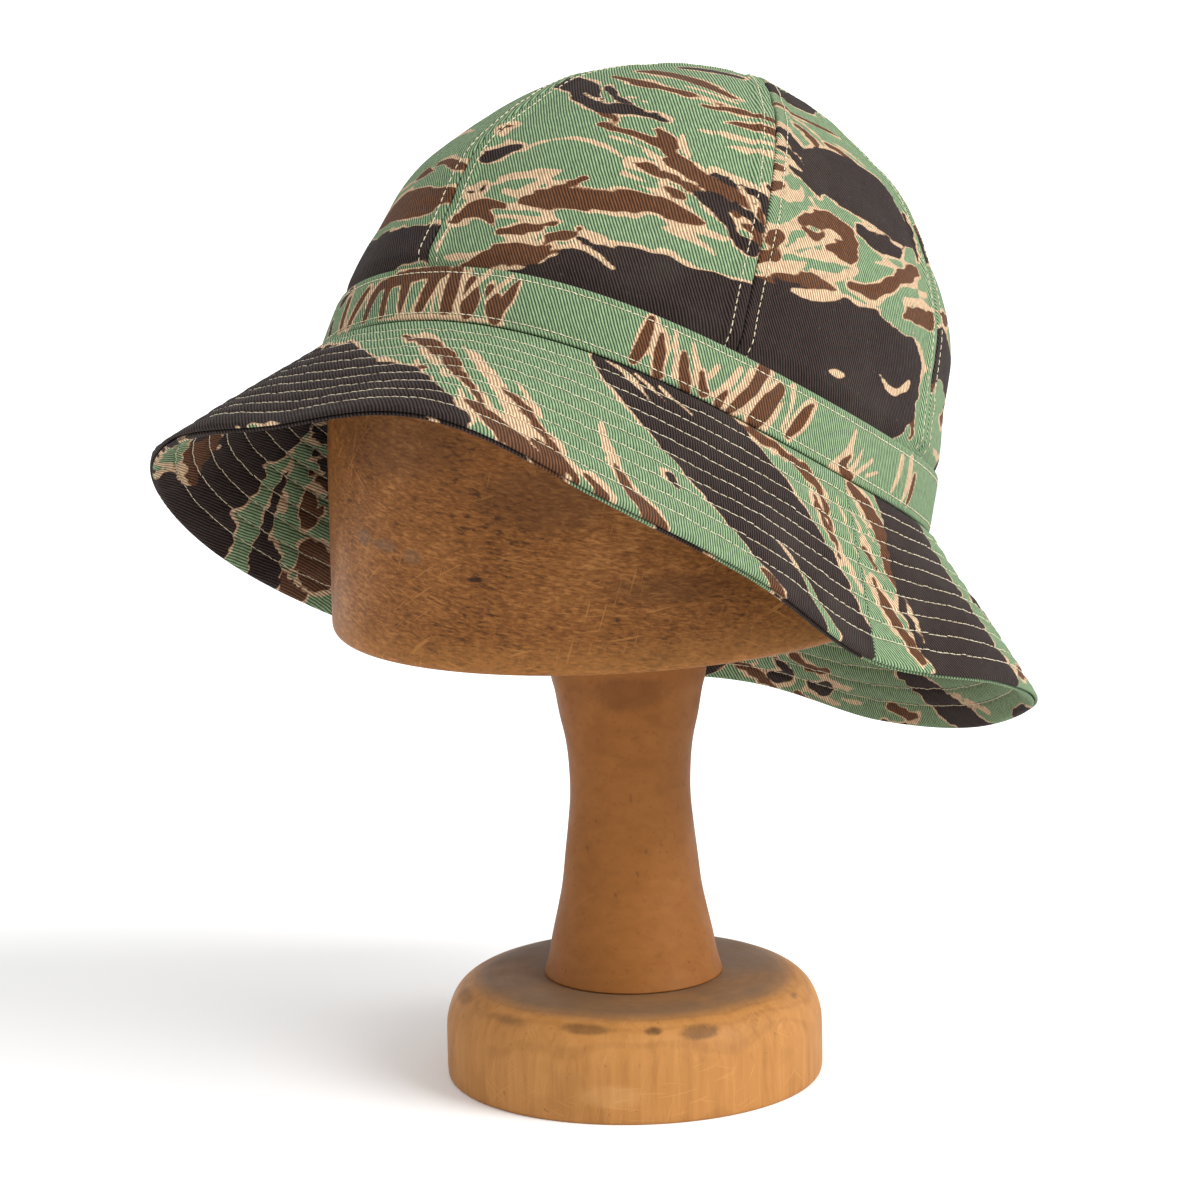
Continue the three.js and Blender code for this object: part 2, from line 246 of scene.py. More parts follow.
def wall_mesh(
    name: str, outside: Array, inside: Array, outer: Array, inner: Array
) -> Piece:
    """A thin wall as one closed mesh: columns of points up its outside and down its inside, with
    both end columns closed.

    Args:
        name: the object's name.
        outside: points by column and row.
        inside: points by column and row, as many columns.
        outer, inner: how far up each row lies, rising on both sides.

    Returns:
        The new object.
    """
    loops = np.concatenate([outside, inside[:, ::-1]], axis=1)
    columns, count = loops.shape[:2]
    end = wall_end(outer, inner[::-1])
    last = (columns - 1) * count
    triangles = np.concatenate([end, last + end[:, [0, 2, 1]]])
    return build_mesh(name, loops.reshape(-1, 3), strip_quads(columns, count), triangles)


def put_cloth_map(piece: Piece, places: Array, print_fields: dict[str, Array]) -> None:
    """Gives a piece the map of its flat cloth and the fields of the cloth's print.

    Args:
        piece: the mesh object.
        places: where each corner lies on the flat cloth, in metres, one row each.
        print_fields: by the dye's name, how far inside the dye a corner lies, in mm.
    """
    mesh = piece.data
    corners = np.empty(len(mesh.loops), np.int32)
    mesh.loops.foreach_get("vertex_index", corners)
    layer = mesh.uv_layers.new(name="cloth")
    layer.data.foreach_set("uv", places[corners].astype(np.float32).ravel())
    for name, values in print_fields.items():
        attribute = mesh.attributes.new(name, "FLOAT", "POINT")
        attribute.data.foreach_set("value", values.astype(np.float32).ravel())


# The hat's shape


@dataclass(frozen=True)
class HatForm:
    """Where the hat's cloth lies. Sizes are measured over the outside of the cloth.

    The outline's rows are reach and height as shares. A seam has its angles at the joint and at
    the apex, and droops are angles at even steps round the brim, all in degrees. A wave has its
    count round the joint with its cosine and sine shares. A dent has its angle, height share,
    depth share, spread in degrees and spread of the height share.
    """

    foot: float
    length: float = 213 * MM
    width: float = 177 * MM
    crown_height: float = 122.4 * MM
    band_height: float = 18.7 * MM
    brim_width: float = 61.4 * MM
    crown_wall: float = 1.6 * MM
    band_wall: float = 1.5 * MM
    brim_wall: float = 1.2 * MM
    cloth_gap: float = 0.3 * MM
    seam_width: float = 9 * MM
    overhang: float = 6 * MM
    stitch_pitch: float = 6 * MM
    edge_channel: float = 8 * MM
    joint_wave: float = 3 * MM
    dent_depth: float = 2.4 * MM
    apex_side: float = 8.9 * MM
    apex_back: float = 2.4 * MM
    tip_radius: float = 0.7 * MM
    rise: float = 49.2 * MM
    shift_side: float = -2.8 * MM
    shift_back: float = 3.5 * MM
    tilt_back: float = 27.5 * RAD
    lean_side: float = 5.8 * RAD
    turn: float = 3.5 * RAD
    slope_step: float = 0.004
    outline: tuple = (
        (1.0, 0.0),
        (0.983, 0.15),
        (0.942, 0.32),
        (0.892, 0.5),
        (0.764, 0.66),
        (0.619, 0.79),
        (0.41, 0.89),
        (0.215, 0.96),
    )
    seams: tuple = ((1.5, -7), (64, 60), (114, 116), (182, 180), (243, 242), (303, 300))
    droops: tuple = (48, 40, 50, 55, 62, 47, 43, 48, 44, 33, 46, 64, 74, 74, 53, 47)
    waves: tuple = ((2, 0.97, 0.44), (3, 0.08, 0.61))
    dents: tuple = ((-50, 0.76, 1.6, 34, 0.2), (138, 0.8, 0.5, 26, 0.14), (196, 0.5, 0.7, 22, 0.2))

    def place(self, points: Array) -> Array:
        """Moves points from the hat's own frame to the stand's: turned, tilted and leant."""
        c, s = math.cos, math.sin
        p, q, w = -self.tilt_back, -self.lean_side, self.turn
        tilt = np.array([[1, 0, 0], [0, c(p), -s(p)], [0, s(p), c(p)]])
        lean = np.array([[c(q), 0, s(q)], [0, 1, 0], [-s(q), 0, c(q)]])
        turn = np.array([[c(w), -s(w), 0], [s(w), c(w), 0], [0, 0, 1]])
        middle = np.array([self.shift_side, self.shift_back, self.foot + self.rise])
        return points @ (lean @ tilt @ turn).T + middle

    def oval(self, angle: Array) -> Array:
        """The joint's oval, seen from above: an ellipse round the origin."""
        x, y = self.width / 2 * np.sin(angle), -self.length / 2 * np.cos(angle)
        return np.stack([x, y, np.zeros_like(x)], -1)

    def oval_outward(self, angle: Array) -> Array:
        """The ellipse's outward direction."""
        x, y = self.length * np.sin(angle), -self.width * np.cos(angle)
        return unit(np.stack([x, y, np.zeros_like(x)], -1))

    def joint_height(self, angle: Array) -> Array:
        """The waves of the joint: a sum of cosines and sines."""
        return self.joint_wave * sum(
            cosine * np.cos(count * angle) + sine * np.sin(count * angle)
            for count, cosine, sine in self.waves
        )

    def crown_outline(self, way: Array) -> tuple[Array, Array]:
        """Reach and height of the crown as shares, on a smooth curve that runs over the apex."""
        rising = np.array(self.outline)
        points = np.concatenate([rising, [[0, 1]], rising[::-1] * [-1, 1]])
        curve = spline(points, np.asarray(way, float) * len(rising))
        return curve[..., 0], curve[..., 1]

    def dent(self, angle: Array, height: Array) -> Array:
        """How far the dents push the cloth in: a sum of round bumps."""
        depth = np.zeros(np.broadcast(angle, height).shape)
        for middle, level, share, spread, up in self.dents:
            turn = (angle - middle * RAD + math.pi) % TAU - math.pi
            across, along = turn / (spread * RAD), (height - level) / up
            depth = depth + self.dent_depth * share * np.exp(-(across**2) - along**2)
        return depth

    def crown(self, angle: Array, way: Array) -> Array:
        """Point of the crown's outside: the oval shrunk by the outline's reach and lifted by its
        height, with the apex shifted, the dents pushed in and the joint's waves fading upwards."""
        angle, way = np.broadcast_arrays(np.asarray(angle, float), np.asarray(way, float))
        reach, height = self.crown_outline(way)
        points = self.oval(angle) * reach[..., None]
        points = points - self.oval_outward(angle) * (self.dent(angle, height) * reach)[..., None]
        points[..., 0] += self.apex_side * height**2
        points[..., 1] += self.apex_back * height**2
        points[..., 2] = height * self.crown_height + self.joint_height(angle) * (1 - height)
        return points

    def crown_outward(self, angle: Array, way: Array) -> Array:
        """The crown's outward direction: across its slopes round and up the crown."""
        step = self.slope_step
        along = self.crown(angle + step, way) - self.crown(angle - step, way)
        up = self.crown(angle, np.minimum(way + step, 1)) - self.crown(angle, way - step)
        return unit(np.cross(along, up))

    def crown_under(self, angle: Array, way: Array, depth: Array) -> Array:
        """A point at a depth under the crown's outside."""
        depth = np.asarray(depth)[..., None]
        return self.crown(angle, way) - self.crown_outward(angle, way) * depth

    def way_at_height(self, height: float) -> float:
        """How far up the outline a height above the joint is reached."""
        ways = np.linspace(0, 1, 4001)
        return float(np.interp(height / self.crown_height, self.crown_outline(ways)[1], ways))

    def tip_way(self) -> float:
        """How far up the outline the crown has closed in to its tip."""
        ways = np.linspace(0.5, 1, 4001)
        reach = self.crown_outline(ways)[0] * self.width / 2
        return float(np.interp(-self.tip_radius, -reach, ways))

    def crown_length(self, way: Array) -> Array:
        """Length of cloth from the joint up to a way, along the outline."""
        ways = np.linspace(0, 1, 2001)
        reach, height = self.crown_outline(ways)
        mean = (self.length + self.width) / 4
        steps = np.hypot(np.diff(reach) * mean, np.diff(height) * self.crown_height)
        return np.interp(way, ways, np.concatenate([[0], np.cumsum(steps)]))

    def band_stack(self) -> float:
        """How deep the crown's cloth lies under the band's outside."""
        return self.band_wall + self.cloth_gap

    def crown_inset(self, way: Array) -> Array:
        """Depth of the crown's cloth: inside the band, and swelling out again above it."""
        low = self.way_at_height(self.band_height)
        high = self.way_at_height(self.band_height + self.overhang)
        return self.band_stack() * (1 - smooth_step(low, high, way))

    def above_band(self, way: Array) -> Array:
        """0 under the band, 1 well above it."""
        return 1 - self.crown_inset(way) / self.band_stack()

    def seam_angle(self, index: int, way: Array) -> Array:
        """Angle of a crown seam, which shifts evenly on its way up."""
        base, top = self.seams[index % len(self.seams)]
        return (base + (top - base) * way + 360 * (index // len(self.seams))) * RAD

    def droop(self, angle: Array) -> Array:
        """How steeply the brim falls, smoothly between the even steps of its table."""
        count = len(self.droops)
        table = np.array([self.droops[(k - 1) % count] for k in range(count + 3)], float)[:, None]
        return spline(table, np.asarray(angle, float) / TAU % 1 * count + 1)[..., 0] * RAD

    def brim(self, angle: Array, distance: Array, depth: Array) -> Array:
        """Point of the brim: out along a sloping line and under it by a depth. Inside the joint
        the cloth lies flat, and at the joint the two stretches meet at a mitre."""
        angle, distance, depth = np.broadcast_arrays(angle, distance, depth)
        droop = self.droop(angle)
        out = distance * np.cos(droop) - depth * np.sin(droop)
        height = -distance * np.sin(droop) - depth * np.cos(droop)
        mitre = np.where(distance < 0, 0, depth * np.tan(droop / 2))
        inner = distance <= 0
        out, height = np.where(inner, distance - mitre, out), np.where(inner, -depth, height)
        points = self.oval(angle) + self.oval_outward(angle) * out[..., None]
        points[..., 2] = height + self.joint_height(angle)
        return points

    def brim_outward(self, angle: Array, distance: Array) -> Array:
        """The brim's upper direction: across its slopes round and out."""
        step = self.slope_step
        along = self.brim(angle + step, distance, 0.0) - self.brim(angle - step, distance, 0.0)
        out = self.brim(angle, distance + MM, 0.0) - self.brim(angle, distance, 0.0)
        return unit(np.cross(out, along))

    def stitch_rows(self) -> Array:
        """Distances of the brim's stitch rows from the joint, inwards from the outer edge."""
        last = self.brim_width - self.edge_channel
        count = int((last - self.stitch_pitch / 2) / self.stitch_pitch) + 1
        return last - self.stitch_pitch * np.arange(count)[::-1]

    def joint_length(self, angle: Array) -> Array:
        """Length of the joint from the front round to an angle."""
        angles = np.linspace(-TAU, TAU, 8001)
        pace = np.hypot(self.width / 2 * np.cos(angles), self.length / 2 * np.sin(angles))
        length = np.concatenate([[0], np.cumsum((pace[1:] + pace[:-1]) / 2 * np.diff(angles))])
        return np.interp(angle, angles, length) - np.interp(0, angles, length)


# The print of the cloth


class Dye(Enum):
    """A colour that is printed on the green cloth, or the bare green that is left inside one."""

    BLACK = "black"
    BROWN = "brown"
    TAN = "tan"
    GREEN = "green"


OUTSIDE = -30.0


@dataclass(frozen=True)
class Stroke:
    """A brush stroke: knots along its middle line, each with its place and half its thickness in
    mm. A stroke that lies over the others also shows on darker dyes. Depths are reckoned as far
    as a margin round the stroke, and are OUTSIDE beyond it."""

    dye: Dye
    knots: tuple[Triple, ...]
    over: bool = False
    margin: float = 14.0
    least: float = 0.2
    steps: int = 3

    def depth(self, x: Array, y: Array) -> Array:
        """How far inside the stroke each place lies: its half thickness where the middle line is
        nearest, less the distance to that line."""
        table = np.array(self.knots)
        last = len(table) - 1
        fine = spline(table, np.linspace(0, last, self.steps * last + 1))
        fine[:, 2] = np.maximum(fine[:, 2], self.least)
        found = np.full(x.shape, OUTSIDE)
        reach = fine[:, 2].max()
        low = fine[:, :2].min(0) - self.margin - reach
        high = fine[:, :2].max(0) + self.margin + reach
        near = (x > low[0]) & (x < high[0]) & (y > low[1]) & (y < high[1])
        px, py = x[near], y[near]
        for (ax, ay, at), (bx, by, bt) in zip(fine[:-1], fine[1:]):
            dx, dy = bx - ax, by - ay
            share = np.clip(((px - ax) * dx + (py - ay) * dy) / (dx * dx + dy * dy + 1e-9), 0, 1)
            away = np.hypot(px - ax - share * dx, py - ay - share * dy)
            found[near] = np.maximum(found[near], at + (bt - at) * share - away)
        return found


def chart(over: tuple = (), **lines: tuple) -> tuple[Stroke, ...]:
    """Charted strokes: lines of knots by their dye's name, and tan ones that lie over the rest."""
    found = [Stroke(Dye(dye), line) for dye, several in lines.items() for line in several]
    return (*found, *(Stroke(Dye.TAN, line, over=True) for line in over))


STREWN_SIZES = ((Dye.BLACK, 0.22, 30, 5.5), (Dye.BROWN, 0.42, 19, 2.3), (Dye.TAN, 0.36, 13, 0.9))
STREWN_TAPER = (0.25, 0.8, 1.15, 1, 0.7, 0.2)


@dataclass(frozen=True)
class TigerPrint:
    """The strokes on one piece of cloth: those charted, and those strewn by a seeded draw
    where nothing is charted. Black lies over brown, and brown over the tan that edges both.
    A strewn stroke's dye comes with its share of the draw, its reach and its half thickness."""

    seed: int
    charted: tuple[Stroke, ...] = ()
    strewn: int = 0
    left: float = -60.0
    right: float = 60.0
    low: float = 0.0
    high: float = 150.0
    tilt: float = 0.0
    wave: float = 1.0
    edging: float = 1.0
    mean_edging: float = 0.9
    edging_swing: float = 1.5
    least_edging: float = 0.35
    edging_size: tuple = (11, 5)
    ragged_sizes: tuple = ((1.0, 7, 1.9), (0.5, 2.7, 1.2))
    green_edge: float = 1.2
    reach_range: tuple = (0.4, 1.2)
    thickness_range: tuple = (0.6, 1.3)
    swell_range: tuple = (0.75, 1.25)
    tilt_spread: float = 7.0
    sway_spread: float = 0.09

    def strewn_strokes(self) -> list[Stroke]:
        """Strokes in the same hand as the charted ones: wavy, tapering, most of them along the
        print's tilt, black ones broad and tan ones thin."""
        draw = np.random.default_rng(self.seed)
        found = []
        dyes, shares, reaches, thicknesses = zip(*STREWN_SIZES)
        taper = np.array(STREWN_TAPER)
        count = len(taper)
        for _ in range(self.strewn):
            kind = int(draw.choice(len(dyes), p=shares))
            dye, reach, thickness = dyes[kind], reaches[kind], thicknesses[kind]
            reach = reach * draw.uniform(*self.reach_range)
            thickness = thickness * draw.uniform(*self.thickness_range)
            x, y = draw.uniform(self.left, self.right), draw.uniform(self.low, self.high)
            tilt = (self.tilt + draw.normal(0, self.tilt_spread)) * RAD
            along = np.linspace(-1, 1, count) * reach
            sway = np.cumsum(draw.normal(0, self.sway_spread, count)) * reach
            swell = thickness * taper * draw.uniform(*self.swell_range, count)
            kx = x + along * math.cos(tilt) - sway * math.sin(tilt)
            ky = y + along * math.sin(tilt) + sway * math.cos(tilt)
            found.append(Stroke(dye, tuple(zip(kx, ky, swell))))
        return found

    def fields(self, x: Array, y: Array) -> dict[str, Array]:
        """How far inside each dye a place lies, in mm, with ragged edges drawn out along the tilt.

        Args:
            x, y: places on the chart in mm.

        Returns:
            For each dye's name, one value for each place, negative outside it.
        """
        tilt = self.tilt * RAD
        along = x * math.cos(tilt) + y * math.sin(tilt)
        across = y * math.cos(tilt) - x * math.sin(tilt)
        ragged = sum(
            share * self.wave * lattice_noise(along / run, across / width, self.seed + number)
            for number, (share, run, width) in enumerate(self.ragged_sizes, 1)
        )
        layers = {dye: np.full(x.shape, OUTSIDE) for dye in Dye}
        top = np.full(x.shape, OUTSIDE)
        for stroke in (*self.strewn_strokes(), *self.charted):
            depth = stroke.depth(x, y)
            layers[stroke.dye] = np.maximum(layers[stroke.dye], depth)
            if stroke.over:
                top = np.maximum(top, depth)
        cut = np.maximum(top, layers[Dye.GREEN]) + 0.5 * ragged
        black, brown = (
            np.minimum(layers[dye] + ragged, -cut) for dye in (Dye.BLACK, Dye.BROWN)
        )
        run, width = self.edging_size
        swing = self.edging_swing * lattice_noise(along / run, across / width, self.seed + 3)
        width = self.edging * np.maximum(self.least_edging, self.mean_edging + swing)
        edging = np.minimum(np.maximum(black, brown) + width, width * 3)
        tan = np.maximum(layers[Dye.TAN] + 0.7 * ragged, edging)
        beyond = self.green_edge - layers[Dye.GREEN]
        tan = np.where(beyond < 0, np.minimum(tan, beyond), tan)
        return {"black": black, "brown": brown, "tan": tan}


# Charts of the print, drawn in mm on the flat cloth

LEFT_PANEL = chart(
    black=(
        ((-40, 27, 9), (-10, 27, 9), (5, 27, 8.5), (20, 27, 8), (35, 27, 7), (56, 27, 5.5)),
        ((-28, 84, 2), (-18, 88, 4), (-6, 90, 3), (4, 88, 1)),
    ),
    brown=(
        ((-4, 42, 2), (8, 44, 4.6), (18, 44.5, 5.4), (28, 43.5, 5.4), (38, 43, 3.6), (47, 45, 1.6)),
        ((24, 58, 0.8), (31, 57.5, 1.6), (38, 55, 1.4), (43, 54, 0.6)),
        ((14, 54.5, 0.6), (20, 55.5, 1), (26, 55.5, 0.6)),
        ((-34, 62, 1), (-22, 65, 2.6), (-10, 64, 2.2), (0, 66, 0.8)),
    ),
    tan=(
        ((-2, 54, 0.7), (6, 53, 1.2), (13, 54, 0.9)),
        ((6, 40, 0.5), (14, 41, 0.8), (24, 40, 0.6)),
        ((8, 72, 0.6), (16, 74, 1.1), (24, 73, 0.7)),
    ),
)

FRONT_PANEL = chart(
    black=(
        (
            (-26, 17, 2), (-10, 18, 5), (1, 21, 10.5), (10, 23.5, 12), (25, 25, 12.6), (40, 26, 13),
            (56, 27, 14),
        ),
        ((-2, 34.5, 0.5), (4, 32.5, 1.6), (10, 30, 3)),
        (
            (-32, 99, 4), (-25, 97, 5), (-19, 90.5, 4.2), (-13, 86, 2.8), (-6, 87.5, 3), (1, 87, 2),
            (8, 86, 0.8),
        ),
        ((-16, 98, 1), (-10, 92, 1.6), (-4, 90, 1)),
        ((-42, 57, 1.4), (-36, 60, 2.7), (-31, 61.5, 1.4)),
        ((-43, 44.5, 0.8), (-38, 46, 1.4)),
        (
            (25, 60.5, 1), (29, 60, 2.4), (33, 59, 3), (37, 55.5, 1.8), (41, 52, 1.6),
            (46, 50.5, 1.8),
        ),
        ((28, 70, 0.8), (34, 69, 1.4), (41, 69, 1.8), (45, 66, 1.8), (48, 62, 1.6)),
        ((43, 73, 0.8), (48, 71, 1.8), (51, 69, 1.6)),
        ((37, 62, 0.6), (42, 60, 0.9), (46, 57.5, 1.2)),
        ((-6, 134, 2), (2, 138, 4), (8, 140, 2)),
    ),
    brown=(
        (
            (-23, 43, 0.8), (-16, 45, 3), (-8, 47, 3.6), (0, 48.5, 3.5), (9, 51, 3.1),
            (17, 52, 2.7), (24, 51.5, 2.5), (31, 52, 0.8),
        ),
        ((-14, 48, 1.8), (-10, 51, 1.5), (-6, 54.5, 0.6)),
        (
            (-9, 77, 0.8), (-2, 76, 1.7), (5, 75.5, 1.5), (12, 73, 1.7), (20, 69, 1.8),
            (28, 64.5, 1.5), (35, 61, 1.2),
        ),
        ((4, 81, 0.6), (9, 80, 1.3), (14, 75, 1)),
        ((-46, 34, 0.8), (-42, 37, 2.2), (-36, 38.5, 2.5), (-31, 35, 1.6), (-29, 33, 0.6)),
        ((-42, 40, 0.6), (-35, 41.5, 1), (-28, 40.5, 0.6)),
        ((-27, 31.5, 0.8), (-20, 33.5, 1.9), (-14, 35.5, 1.3), (-9, 38, 0.6)),
        ((-36, 19.5, 1), (-28, 22, 3), (-20, 25, 4.2), (-13, 26, 3.2), (-10, 29, 1.4)),
        ((-16, 26, 1.6), (-9, 27.5, 1.4), (-5, 28, 0.5)),
        ((-12, 29, 1), (-9, 33, 1.8), (-3, 36.5, 1)),
        ((4, 64, 0.5), (9, 64, 1.1), (14, 62.5, 0.8), (17, 60.5, 0.4)),
        ((27, 67, 1), (32, 66.5, 2.4), (38, 65, 2), (43, 63, 1), (46, 60, 0.8)),
        ((31, 61.5, 0.8), (36, 60, 1.6), (39, 58, 1.2)),
        ((40, 57.5, 0.8), (44, 56, 1.4), (48, 54, 1.2)),
        ((46, 54, 1.6), (50, 54, 1.6)),
        ((14, 69, 0.8), (18, 67.5, 1.6), (23, 65.5, 1.2)),
        ((15, 63.5, 0.8), (20, 62, 1.8), (26, 61, 1.4)),
        ((15, 59.5, 0.7), (20, 58.5, 1.6), (23, 57.5, 0.8)),
        ((7, 81, 1.6), (10, 77, 1.6), (13, 72, 1)),
        ((-18, 106, 0.8), (-9, 104, 1.7), (0, 103.5, 1.3), (8, 104, 1.2), (17, 104, 0.7)),
        ((-12, 117, 2.4), (0, 118, 4), (9, 116, 3), (17, 113, 1.6)),
        ((14, 100, 0.7), (22, 103.5, 1.4), (30, 105, 1.6), (37, 105.5, 0.8)),
        ((22, 95, 0.7), (29, 98, 1.6), (38, 99, 1.8), (47, 98, 1.8), (51, 96, 1)),
        ((-14, 84, 0.6), (-9, 82, 1.2), (-5, 80, 0.6)),
        ((-37, 73, 0.6), (-41, 70, 1)),
    ),
    tan=(
        (
            (-29, 60, 0.6), (-24, 65, 0.9), (-16, 68, 0.9), (-8, 68.5, 1), (0, 65.5, 0.9),
            (8, 62, 0.6),
        ),
        ((-33, 50, 0.6), (-26, 52, 1.4), (-18, 53.5, 1.6), (-13, 55.5, 0.5)),
        ((-30, 46, 0.6), (-25, 45, 1.2), (-20, 49, 1.3), (-15, 54, 0.7)),
        ((-35, 40.5, 0.6), (-26, 40.5, 1), (-16, 40.5, 0.8), (-12, 39.5, 0.5)),
        ((-32, 36.5, 0.6), (-22, 37, 1), (-14, 38, 1.2), (-8, 38.5, 0.5)),
        ((-31, 24, 0.5), (-36, 22.5, 0.8), (-44, 22, 0.6)),
        ((-24, 29, 0.6), (-20, 30, 1), (-14, 31, 0.8)),
        ((-6, 34, 0.8), (-1, 36, 1.2), (5, 36.5, 0.8)),
        ((4, 59, 0.5), (12, 58.5, 0.8), (20, 57, 0.6)),
        ((17, 87, 0.6), (24, 89, 1.4), (32, 91, 1.4), (40, 93.5, 0.8)),
        ((24, 82.5, 0.7), (30, 85, 1.4), (38, 87.5, 1.4), (47, 89, 1)),
        ((33, 112, 1), (40, 112, 2.4), (46, 110, 2)),
        ((30, 101, 0.5), (38, 103, 0.8), (47, 103, 0.8)),
        ((22, 69.5, 0.6), (27, 65, 1.3), (28, 61, 0.8)),
        ((26, 49.5, 0.7), (33, 50, 0.9), (38, 50, 0.5)),
        ((28, 57, 0.8), (34, 56, 1), (40, 52, 0.8), (44, 48.5, 0.7)),
        ((12, 65.5, 0.6), (19, 65, 0.8), (26, 63.5, 0.6)),
        ((8, 57, 0.6), (17, 56, 1), (26, 54.5, 0.7)),
        ((14, 82, 0.5), (16, 77, 1), (19, 73, 0.8)),
        ((-30, 20, 0.8), (-22, 19.5, 1), (-12, 23, 0.9), (-4, 27, 1)),
        ((20, 46, 0.4), (28, 46, 0.7), (36, 44.5, 0.5)),
        ((-47, 24, 0.8), (-46, 30, 1.2), (-44, 36, 0.7)),
        ((-38, 63.5, 0.6), (-32, 64, 0.9)),
        ((-36, 47.5, 0.5), (-32, 49, 0.8)),
        ((-4, 72, 0.5), (4, 71.5, 0.9), (12, 68, 0.8), (19, 64, 0.5)),
        ((-10, 93, 0.5), (-5, 94, 0.8), (1, 92, 0.5)),
        ((4, 109, 0.5), (13, 110, 0.8), (20, 109, 0.5)),
    ),
    over=(
        ((-9, 30, 0.6), (0, 31.8, 0.9), (5, 30.5, 0.8), (10, 28, 0.5)),
        ((33, 71, 0.4), (38, 67.5, 0.7), (43, 62, 0.4)),
        ((-22, 93, 0.3), (-16, 90, 0.7), (-11, 88, 0.4)),
    ),
)

RIGHT_PANEL = chart(
    black=(
        (
            (-60, 27, 12.5), (-46, 27.5, 14), (-34, 29, 16), (-18, 31, 18), (0, 32, 19.5),
            (14, 33, 18), (22, 36, 14), (27, 45, 7),
        ),
        (
            (-22, 94, 3), (-16, 92, 9), (-6, 93, 12.5), (4, 93.5, 13), (12, 92.5, 12), (19, 90, 9),
            (25, 87, 5),
        ),
        ((-4, 75.5, 2), (3, 75, 3.5), (12, 77, 3.5), (20, 82, 3)),
        ((-38, 100, 1.4), (-33, 101, 2), (-28, 99, 3), (-25, 95, 1.5)),
        ((-41, 96, 1.4), (-36, 96, 1)),
        ((-34, 92, 0.6), (-29, 92, 1.8), (-24, 88, 2), (-20, 84, 1.8)),
        ((-31, 87, 1.1), (-26, 86, 1.5), (-21, 81, 1.4)),
        ((-38, 45, 0.8), (-33, 45.5, 0.9), (-28, 47.5, 0.5)),
        ((28, 96, 1), (30, 88, 1.4), (32, 80, 1)),
    ),
    brown=(
        (
            (-30, 67, 1.2), (-24, 70, 3), (-17, 73, 3.6), (-11, 71, 4), (-10, 66, 3.4),
            (-15, 64, 2.8), (-20, 62.5, 0.8),
        ),
        ((-29, 65, 0.8), (-25, 64, 1.5), (-22, 66, 1)),
        ((-43, 55, 1), (-40, 57, 1.9), (-37, 59, 1)),
        ((-47, 48, 2.3), (-41, 51, 2), (-37, 52.5, 1)),
        (
            (-46, 41, 1.4), (-38, 44, 2.2), (-30, 47.5, 2.4), (-24, 49.5, 2), (-17, 51, 1.8),
            (-13, 50, 0.6),
        ),
        (
            (-9, 55, 1.3), (-5, 55, 1.8), (0, 56, 2.4), (6, 60, 2), (14, 66, 2.2), (22, 71, 2.4),
            (28, 74, 2),
        ),
        ((-43, 82, 2), (-38, 83, 1.4), (-34, 85, 0.6)),
        ((-43, 75, 2.4), (-37, 77, 1.2)),
        ((19, 56, 1.5), (28, 58, 3), (38, 60, 3)),
        ((-24, 113, 0.6), (-20, 109, 1.8), (-17, 104, 1.4)),
        ((-10, 107, 1), (-4, 107, 1.6), (2, 106, 0.8)),
        ((28, 40, 1.6), (31, 34, 2.8), (33, 28, 2), (36, 23, 1)),
    ),
    tan=(
        ((-40, 104, 1), (-31, 104.5, 1.8), (-26, 102, 1.5), (-22, 97, 0.8)),
        ((-41, 93, 1.2), (-36, 93, 1.5), (-30, 95, 1), (-25, 92, 0.8)),
        ((-42, 86, 0.8), (-36, 88, 1.2), (-30, 89.5, 0.8)),
        ((-42, 71.5, 1), (-34, 74, 1.7), (-29, 77, 1.3), (-28, 81, 0.6)),
        ((-25, 78, 0.8), (-22, 75, 1), (-20, 72, 0.7)),
        ((-46, 59, 0.8), (-38, 60.5, 1.5), (-32, 65, 1.7), (-29, 69, 1.3), (-22, 74, 1)),
        ((-35, 55, 0.8), (-31, 59, 1.8), (-26, 62.5, 1.6), (-22, 64, 0.6)),
        ((-17, 60, 0.6), (-13, 61, 1), (-8, 63, 0.8)),
        ((-47, 45.5, 1), (-40, 47.5, 2.2), (-33, 51, 2), (-28, 54, 0.8)),
        ((-42, 53, 0.8), (-36, 55, 1), (-31, 56, 1)),
        ((-31, 55.5, 0.8), (-25, 58, 1.6), (-17, 60.5, 1), (-14, 61, 0.5)),
        ((-25, 53, 0.5), (-17, 54.5, 1), (-10, 58, 1.4), (-7, 60.5, 1)),
        ((2, 67, 0.6), (9, 69, 1.2), (14, 70, 0.6)),
        ((18, 60, 1), (28, 62.5, 1.4), (40, 64, 1)),
        ((28, 65.5, 0.6), (34, 67.5, 0.9)),
        ((-27, 112, 0.5), (-22, 107, 1), (-19, 103, 0.7)),
        ((-24, 118, 0.5), (-18, 115, 1), (-13, 110, 0.8)),
        ((-16, 103, 0.8), (-8, 106, 1), (-2, 104.5, 0.8)),
        ((-6, 112, 0.5), (2, 111, 0.8), (10, 108, 0.5)),
        ((30, 78, 0.8), (31, 86, 1), (29, 93, 0.6)),
    ),
    over=(
        ((-31, 44.5, 0.5), (-24, 46, 1.7), (-17, 48.8, 1.6), (-12, 50.5, 0.6)),
        ((-12, 27, 0.3), (-8.5, 27.7, 0.9), (-5, 28.5, 0.4)),
        ((11, 34.5, 0.5), (17, 32.5, 1.1), (23, 33, 1.1), (28, 37, 1.6)),
        ((-7, 80.5, 0.3), (-1, 79.5, 0.7), (4, 77.5, 0.3)),
        ((12, 79, 0.4), (18, 80, 1), (22, 81, 0.5)),
        ((25, 52, 0.8), (32, 49, 1), (38, 45, 0.8)),
    ),
)

